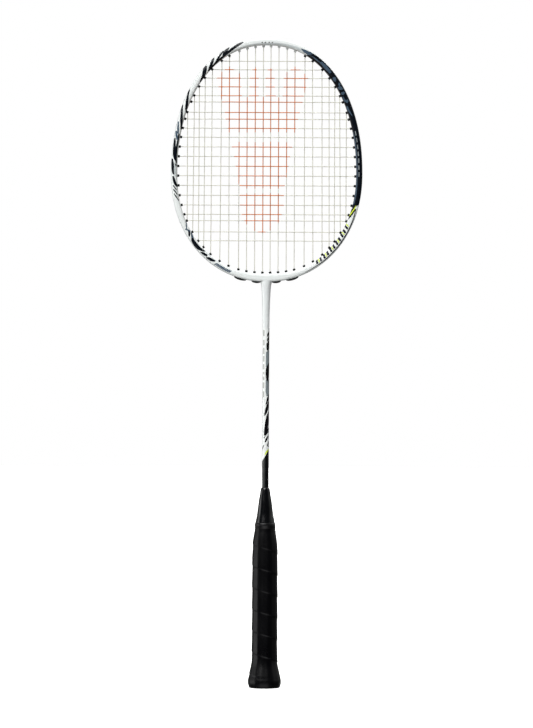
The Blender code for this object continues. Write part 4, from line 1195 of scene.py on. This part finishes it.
def turn(first, second, y):
    points = [hole_point(first, first["tip"], y(first))]
    points.append(hole_point(first, first["floor"] - BEND_ABOVE_FLOOR, y(first)))
    points += groove_run(first, second, y)
    points.append(hole_point(second, second["floor"] - BEND_ABOVE_FLOOR, y(second)))
    points.append(hole_point(second, second["tip"], y(second)))
    return points


def stub(hole, y):
    return [hole_point(hole, hole["tip"] + TIE_STUB, TIE_STUB_LEAN * y(hole))]


def half_main_route(holes):
    points = stub(holes["c18"], main_y) + turn(holes["c18"], holes["bottom_m11"], main_y)
    for main in range(11, 1, -1):
        end = "top" if main % 2 else "bottom"
        points += turn(holes[f"{end}_m{main}"], holes[f"{end}_m{main - 1}"], main_y)
    return points


def main_route():
    right = half_main_route(HOLES["R"])
    left = half_main_route(HOLES["L"])
    middle = turn(HOLES["R"]["top_m1"], HOLES["L"]["top_m1"], main_y)
    return right + middle + list(reversed(left))


def main_point(side, main, z):
    low = HOLES[side][f"bottom_m{main}"]
    high = HOLES[side][f"top_m{main}"]
    start = hole_point(low, low["tip"], main_y(low))
    end = hole_point(high, high["tip"], main_y(high))
    return start.lerp(end, (z - start.z) / (end.z - start.z))


def cross_hole(side, cross):
    return HOLES[side][SHARED_CROSS_HOLES.get(cross, f"c{cross}")]


def weave(cross):
    left = cross_hole("L", cross)
    right = cross_hole("R", cross)
    edge = hole_point(right, right["tip"]).x - HOLE_CLEARANCE
    z = hole_point(right, right["tip"]).z
    order = [("L", main) for main in range(len(MAINS), 0, -1)]
    order += [("R", main) for main in range(1, len(MAINS) + 1)]
    points = [hole_point(left, left["tip"], cross_y(left))]
    for index, (side, main) in enumerate(order):
        point = main_point(side, main, z)
        if abs(point.x) < edge:
            rise = WEAVE_HEIGHT if (index + cross) % 2 else -WEAVE_HEIGHT
            points.append(Vector((point.x, point.y + rise, z)))
    points.append(hole_point(right, right["tip"], cross_y(right)))
    return points


def cross_route():
    start = HOLES["L"]["top_m5"]
    finish = HOLES["R"]["bottom_m8"]
    points = stub(start, cross_y) + turn(start, cross_hole("L", 1), cross_y)
    for cross in range(1, len(CROSSES) + 1):
        line = weave(cross)
        far = "R"
        if cross % 2 == 0:
            line.reverse()
            far = "L"
        points += line[1:-1]
        if cross < len(CROSSES):
            points += turn(cross_hole(far, cross), cross_hole(far, cross + 1), cross_y)
    return points + turn(cross_hole("R", len(CROSSES)), finish, cross_y) + stub(finish, cross_y)


def eased(route):
    """The route at even steps, with its corners rounded."""
    route = np.array([list(point) for point in route])
    length = np.concatenate(([0.0], np.cumsum(np.linalg.norm(np.diff(route, axis=0), axis=1))))
    places = np.linspace(0.0, length[-1], 1 + int(length[-1] / STRING_STEP))
    even = np.stack([np.interp(places, length, route[:, axis]) for axis in range(3)], axis=1)
    reach = 3
    offsets = np.arange(-reach, reach + 1) * STRING_STEP
    weights = np.exp(-0.5 * (offsets / STRING_SMOOTHING) ** 2)
    weights /= weights.sum()
    padded = np.vstack((np.repeat(even[:1], reach, axis=0), even, np.repeat(even[-1:], reach, axis=0)))
    smooth = sum(weight * padded[i:i + len(even)] for i, weight in enumerate(weights))
    return places, smooth


# A plain shuttlecock sign painted on the string bed, in millimetres across and up:
# four feather tips on the upper skirt, a gap for the thread, the lower skirt, a gap and the cork
SIGN = [
    ((-53.0, 636.0), (-39.0, 646.0), (-27.5, 638.0), (-26.0, 614.0), (-19.0, 614.0), (-18.0, 638.0),
     (-13.0, 646.0), (-9.0, 640.0), (-9.0, 614.0), (-1.5, 614.0), (-1.5, 640.0), (3.0, 646.0),
     (8.0, 638.0), (9.0, 614.0), (16.0, 614.0), (17.5, 638.0), (29.0, 646.0), (43.0, 636.0),
     (29.6, 577.5), (-39.6, 577.5)),
    ((-37.4, 567.5), (27.4, 567.5), (18.0, 519.0), (-28.0, 519.0)),
    ((-28.0, 514.0), (18.0, 514.0), (18.0, 497.0), (12.5, 484.0), (4.0, 475.5), (-5.0, 472.5),
     (-14.0, 475.5), (-22.5, 484.0), (-28.0, 497.0)),
]
# Paint thickens a string by this much in the sign; the braid's strands turn once in its pitch
SIGN_COAT = 0.00008
BRAID_PITCH = 0.0011


def build_string(name, route, node):
    places, path = eased(route)
    tangent = np.gradient(path, axis=0)
    tangent /= np.linalg.norm(tangent, axis=1)[:, None]
    across = np.array((0.0, 1.0, 0.0)) - tangent * tangent[:, 1:2]
    across /= np.linalg.norm(across, axis=1)[:, None]
    along = np.cross(tangent, across)
    angles = TAU * np.arange(STRING_SIDES) / STRING_SIDES
    u = path[:, 0] / MM
    v = path[:, 2] / MM
    sign = np.min([area_distance(u, v, list(corners)) for corners in SIGN], axis=0)
    radius = STRING_RADIUS + SIGN_COAT * np.clip(0.5 - sign, 0.0, 1.0)
    outward = across[:, None, :] * np.cos(angles)[None, :, None]
    outward = outward + along[:, None, :] * np.sin(angles)[None, :, None]
    rings = path[:, None, :] + radius[:, None, None] * outward
    turns = np.broadcast_to((TAU * places / BRAID_PITCH)[:, None], rings.shape[:2])
    circling = np.broadcast_to((2.0 * angles)[None, :], rings.shape[:2])
    painted = np.broadcast_to(sign[:, None], rings.shape[:2])
    shell = Shell()
    shell.add(rings)
    add_piece(name, shell, LOOKS["string"], [node], sharp=60.0, attributes={
        "braid": np.stack((turns, circling, painted), axis=2).reshape(-1, 3),
    })


# ---------------------------------------------------------------- stage, light and camera

FLOOR_RADII = (0.5, 1.5, 4.0, 9.0)
FLOOR_SIDES = 48
FLOOR_GAP = 0.0002


def make_floor():
    look = Look("pale_floor", roughness=0.9, specular=0.1)
    look.colour(look.mix(look.noise(3.0), rgb(238, 238, 238), rgb(246, 246, 246)))
    look.uneven_roughness(look.noise(40.0), 0.85, 0.95)
    look.bump(look.noise(120.0), 0.1, 0.0005)
    look.set("Emission Color", (1.0, 1.0, 1.0, 1.0))
    look.set("Emission Strength", 0.55)
    mesh = bpy.data.meshes.new("floor")
    points = [(0.0, 0.0, 0.0)]
    for radius in FLOOR_RADII:
        for i in range(FLOOR_SIDES):
            angle = TAU * i / FLOOR_SIDES
            points.append((radius * math.cos(angle), radius * math.sin(angle), 0.0))
    faces = [(0, 1 + i, 1 + (i + 1) % FLOOR_SIDES) for i in range(FLOOR_SIDES)]
    for ring in range(len(FLOOR_RADII) - 1):
        low = 1 + ring * FLOOR_SIDES
        high = low + FLOOR_SIDES
        for i in range(FLOOR_SIDES):
            j = (i + 1) % FLOOR_SIDES
            faces.append((low + i, high + i, high + j, low + j))
    mesh.from_pydata(points, [], faces)
    mesh.materials.append(look.material)
    floor = bpy.data.objects.new("floor", mesh)
    floor.location.z = -FLOOR_GAP
    bpy.context.scene.collection.objects.link(floor)
    floor.visible_diffuse = False
    floor.visible_glossy = False


# Soft lights of the room: where each one is, cosines of its soft edge, and its strength
ROOM_GLOW = 0.05
ROOM_LIGHTS = (
    ((-0.30, -0.60, 0.74), (0.88, 0.97), 7.8),
    ((-0.10, -0.70, -0.71), (0.80, 0.95), 1.6),
    ((-1.00, 0.00, 0.00), (0.93, 0.99), 3.2),
    ((0.00, 1.00, 0.00), (0.10, 0.60), 0.20),
    ((0.20, 0.66, 0.72), (0.70, 0.93), 2.6),
    ((0.75, 0.10, 0.62), (0.70, 0.95), 0.7),
)


def make_world():
    """A pale room with a high soft light in front, a strip on the left and a bright wall behind."""
    world = bpy.data.worlds.new("soft_studio")
    bpy.context.scene.world = world
    world.use_nodes = True
    nodes = world.node_tree.nodes
    link = world.node_tree.links.new
    background = nodes["Background"]
    place = nodes.new("ShaderNodeTexCoord").outputs["Generated"]
    total = None
    for direction, (low, high), strength in ROOM_LIGHTS:
        dot = nodes.new("ShaderNodeVectorMath")
        dot.operation = 'DOT_PRODUCT'
        dot.inputs[1].default_value = Vector(direction).normalized()
        link(place, dot.inputs[0])
        lobe = nodes.new("ShaderNodeMapRange")
        lobe.interpolation_type = 'SMOOTHSTEP'
        link(dot.outputs["Value"], lobe.inputs["Value"])
        for name, number in (("From Min", low), ("From Max", high), ("To Max", strength)):
            lobe.inputs[name].default_value = number
        node = nodes.new("ShaderNodeMath")
        node.operation = 'ADD'
        node.inputs[1].default_value = ROOM_GLOW
        link(lobe.outputs["Result"], node.inputs[0])
        if total is not None:
            link(total, node.inputs[1])
        total = node.outputs["Value"]
    link(total, background.inputs["Strength"])
    backdrop = nodes.new("ShaderNodeBackground")
    for shade in (background, backdrop):
        shade.inputs["Color"].default_value = (1.0, 1.0, 1.0, 1.0)
    choose = nodes.new("ShaderNodeMixShader")
    link(nodes.new("ShaderNodeLightPath").outputs["Is Camera Ray"], choose.inputs["Fac"])
    link(background.outputs["Background"], choose.inputs[1])
    link(backdrop.outputs["Background"], choose.inputs[2])
    link(choose.outputs["Shader"], nodes["World Output"].inputs["Surface"])


KEY_PLACE = Vector((-1.3, -1.9, 1.5))
KEY_TARGET = Vector((0.0, 0.0, 0.35))
KEY_SIZE = (0.9, 1.4)
KEY_POWER = 1.5


def make_key_light():
    data = bpy.data.lights.new("key", 'AREA')
    data.shape = 'RECTANGLE'
    data.size, data.size_y = KEY_SIZE
    data.energy = KEY_POWER
    lamp = bpy.data.objects.new("key", data)
    lamp.location = KEY_PLACE
    lamp.rotation_euler = (KEY_TARGET - KEY_PLACE).to_track_quat('-Z', 'Y').to_euler()
    bpy.context.scene.collection.objects.link(lamp)


CAMERA_HEIGHT = 0.3366
CAMERA_SIDE = 0.0007
CAMERA_DISTANCE = 4.206
CAMERA_LENS = 200.0
CAMERA_ROLL = math.radians(-0.27)


def make_camera():
    data = bpy.data.cameras.new("camera")
    data.lens = CAMERA_LENS
    camera = bpy.data.objects.new("camera", data)
    upright = Matrix.Rotation(math.radians(90.0), 4, 'X')
    rolled = Matrix.Rotation(CAMERA_ROLL, 4, 'Y') @ upright
    camera.matrix_world = Matrix.Translation((CAMERA_SIDE, -CAMERA_DISTANCE, CAMERA_HEIGHT)) @ rolled
    bpy.context.scene.collection.objects.link(camera)
    bpy.context.scene.camera = camera


# ---------------------------------------------------------------- the scene

def dress_kept_nodes():
    """The two hidden inner pieces keep their CAD shapes and get finished materials."""
    for node, look in (("t_joint", "joint"), ("handle_core", "wood")):
        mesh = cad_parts[node].data
        for index in range(len(mesh.materials)):
            mesh.materials[index] = LOOKS[look]


build_rim()
build_sleeve()
build_shaft()
build_cone()
build_tape()
build_grip()
build_butt()
build_grommets()
build_string("main_strings", main_route(), "main_string")
build_string("cross_strings", cross_route(), "cross_string")
dress_kept_nodes()
make_floor()
make_world()
make_camera()
make_key_light()
bpy.context.scene.view_settings.view_transform = 'Standard'
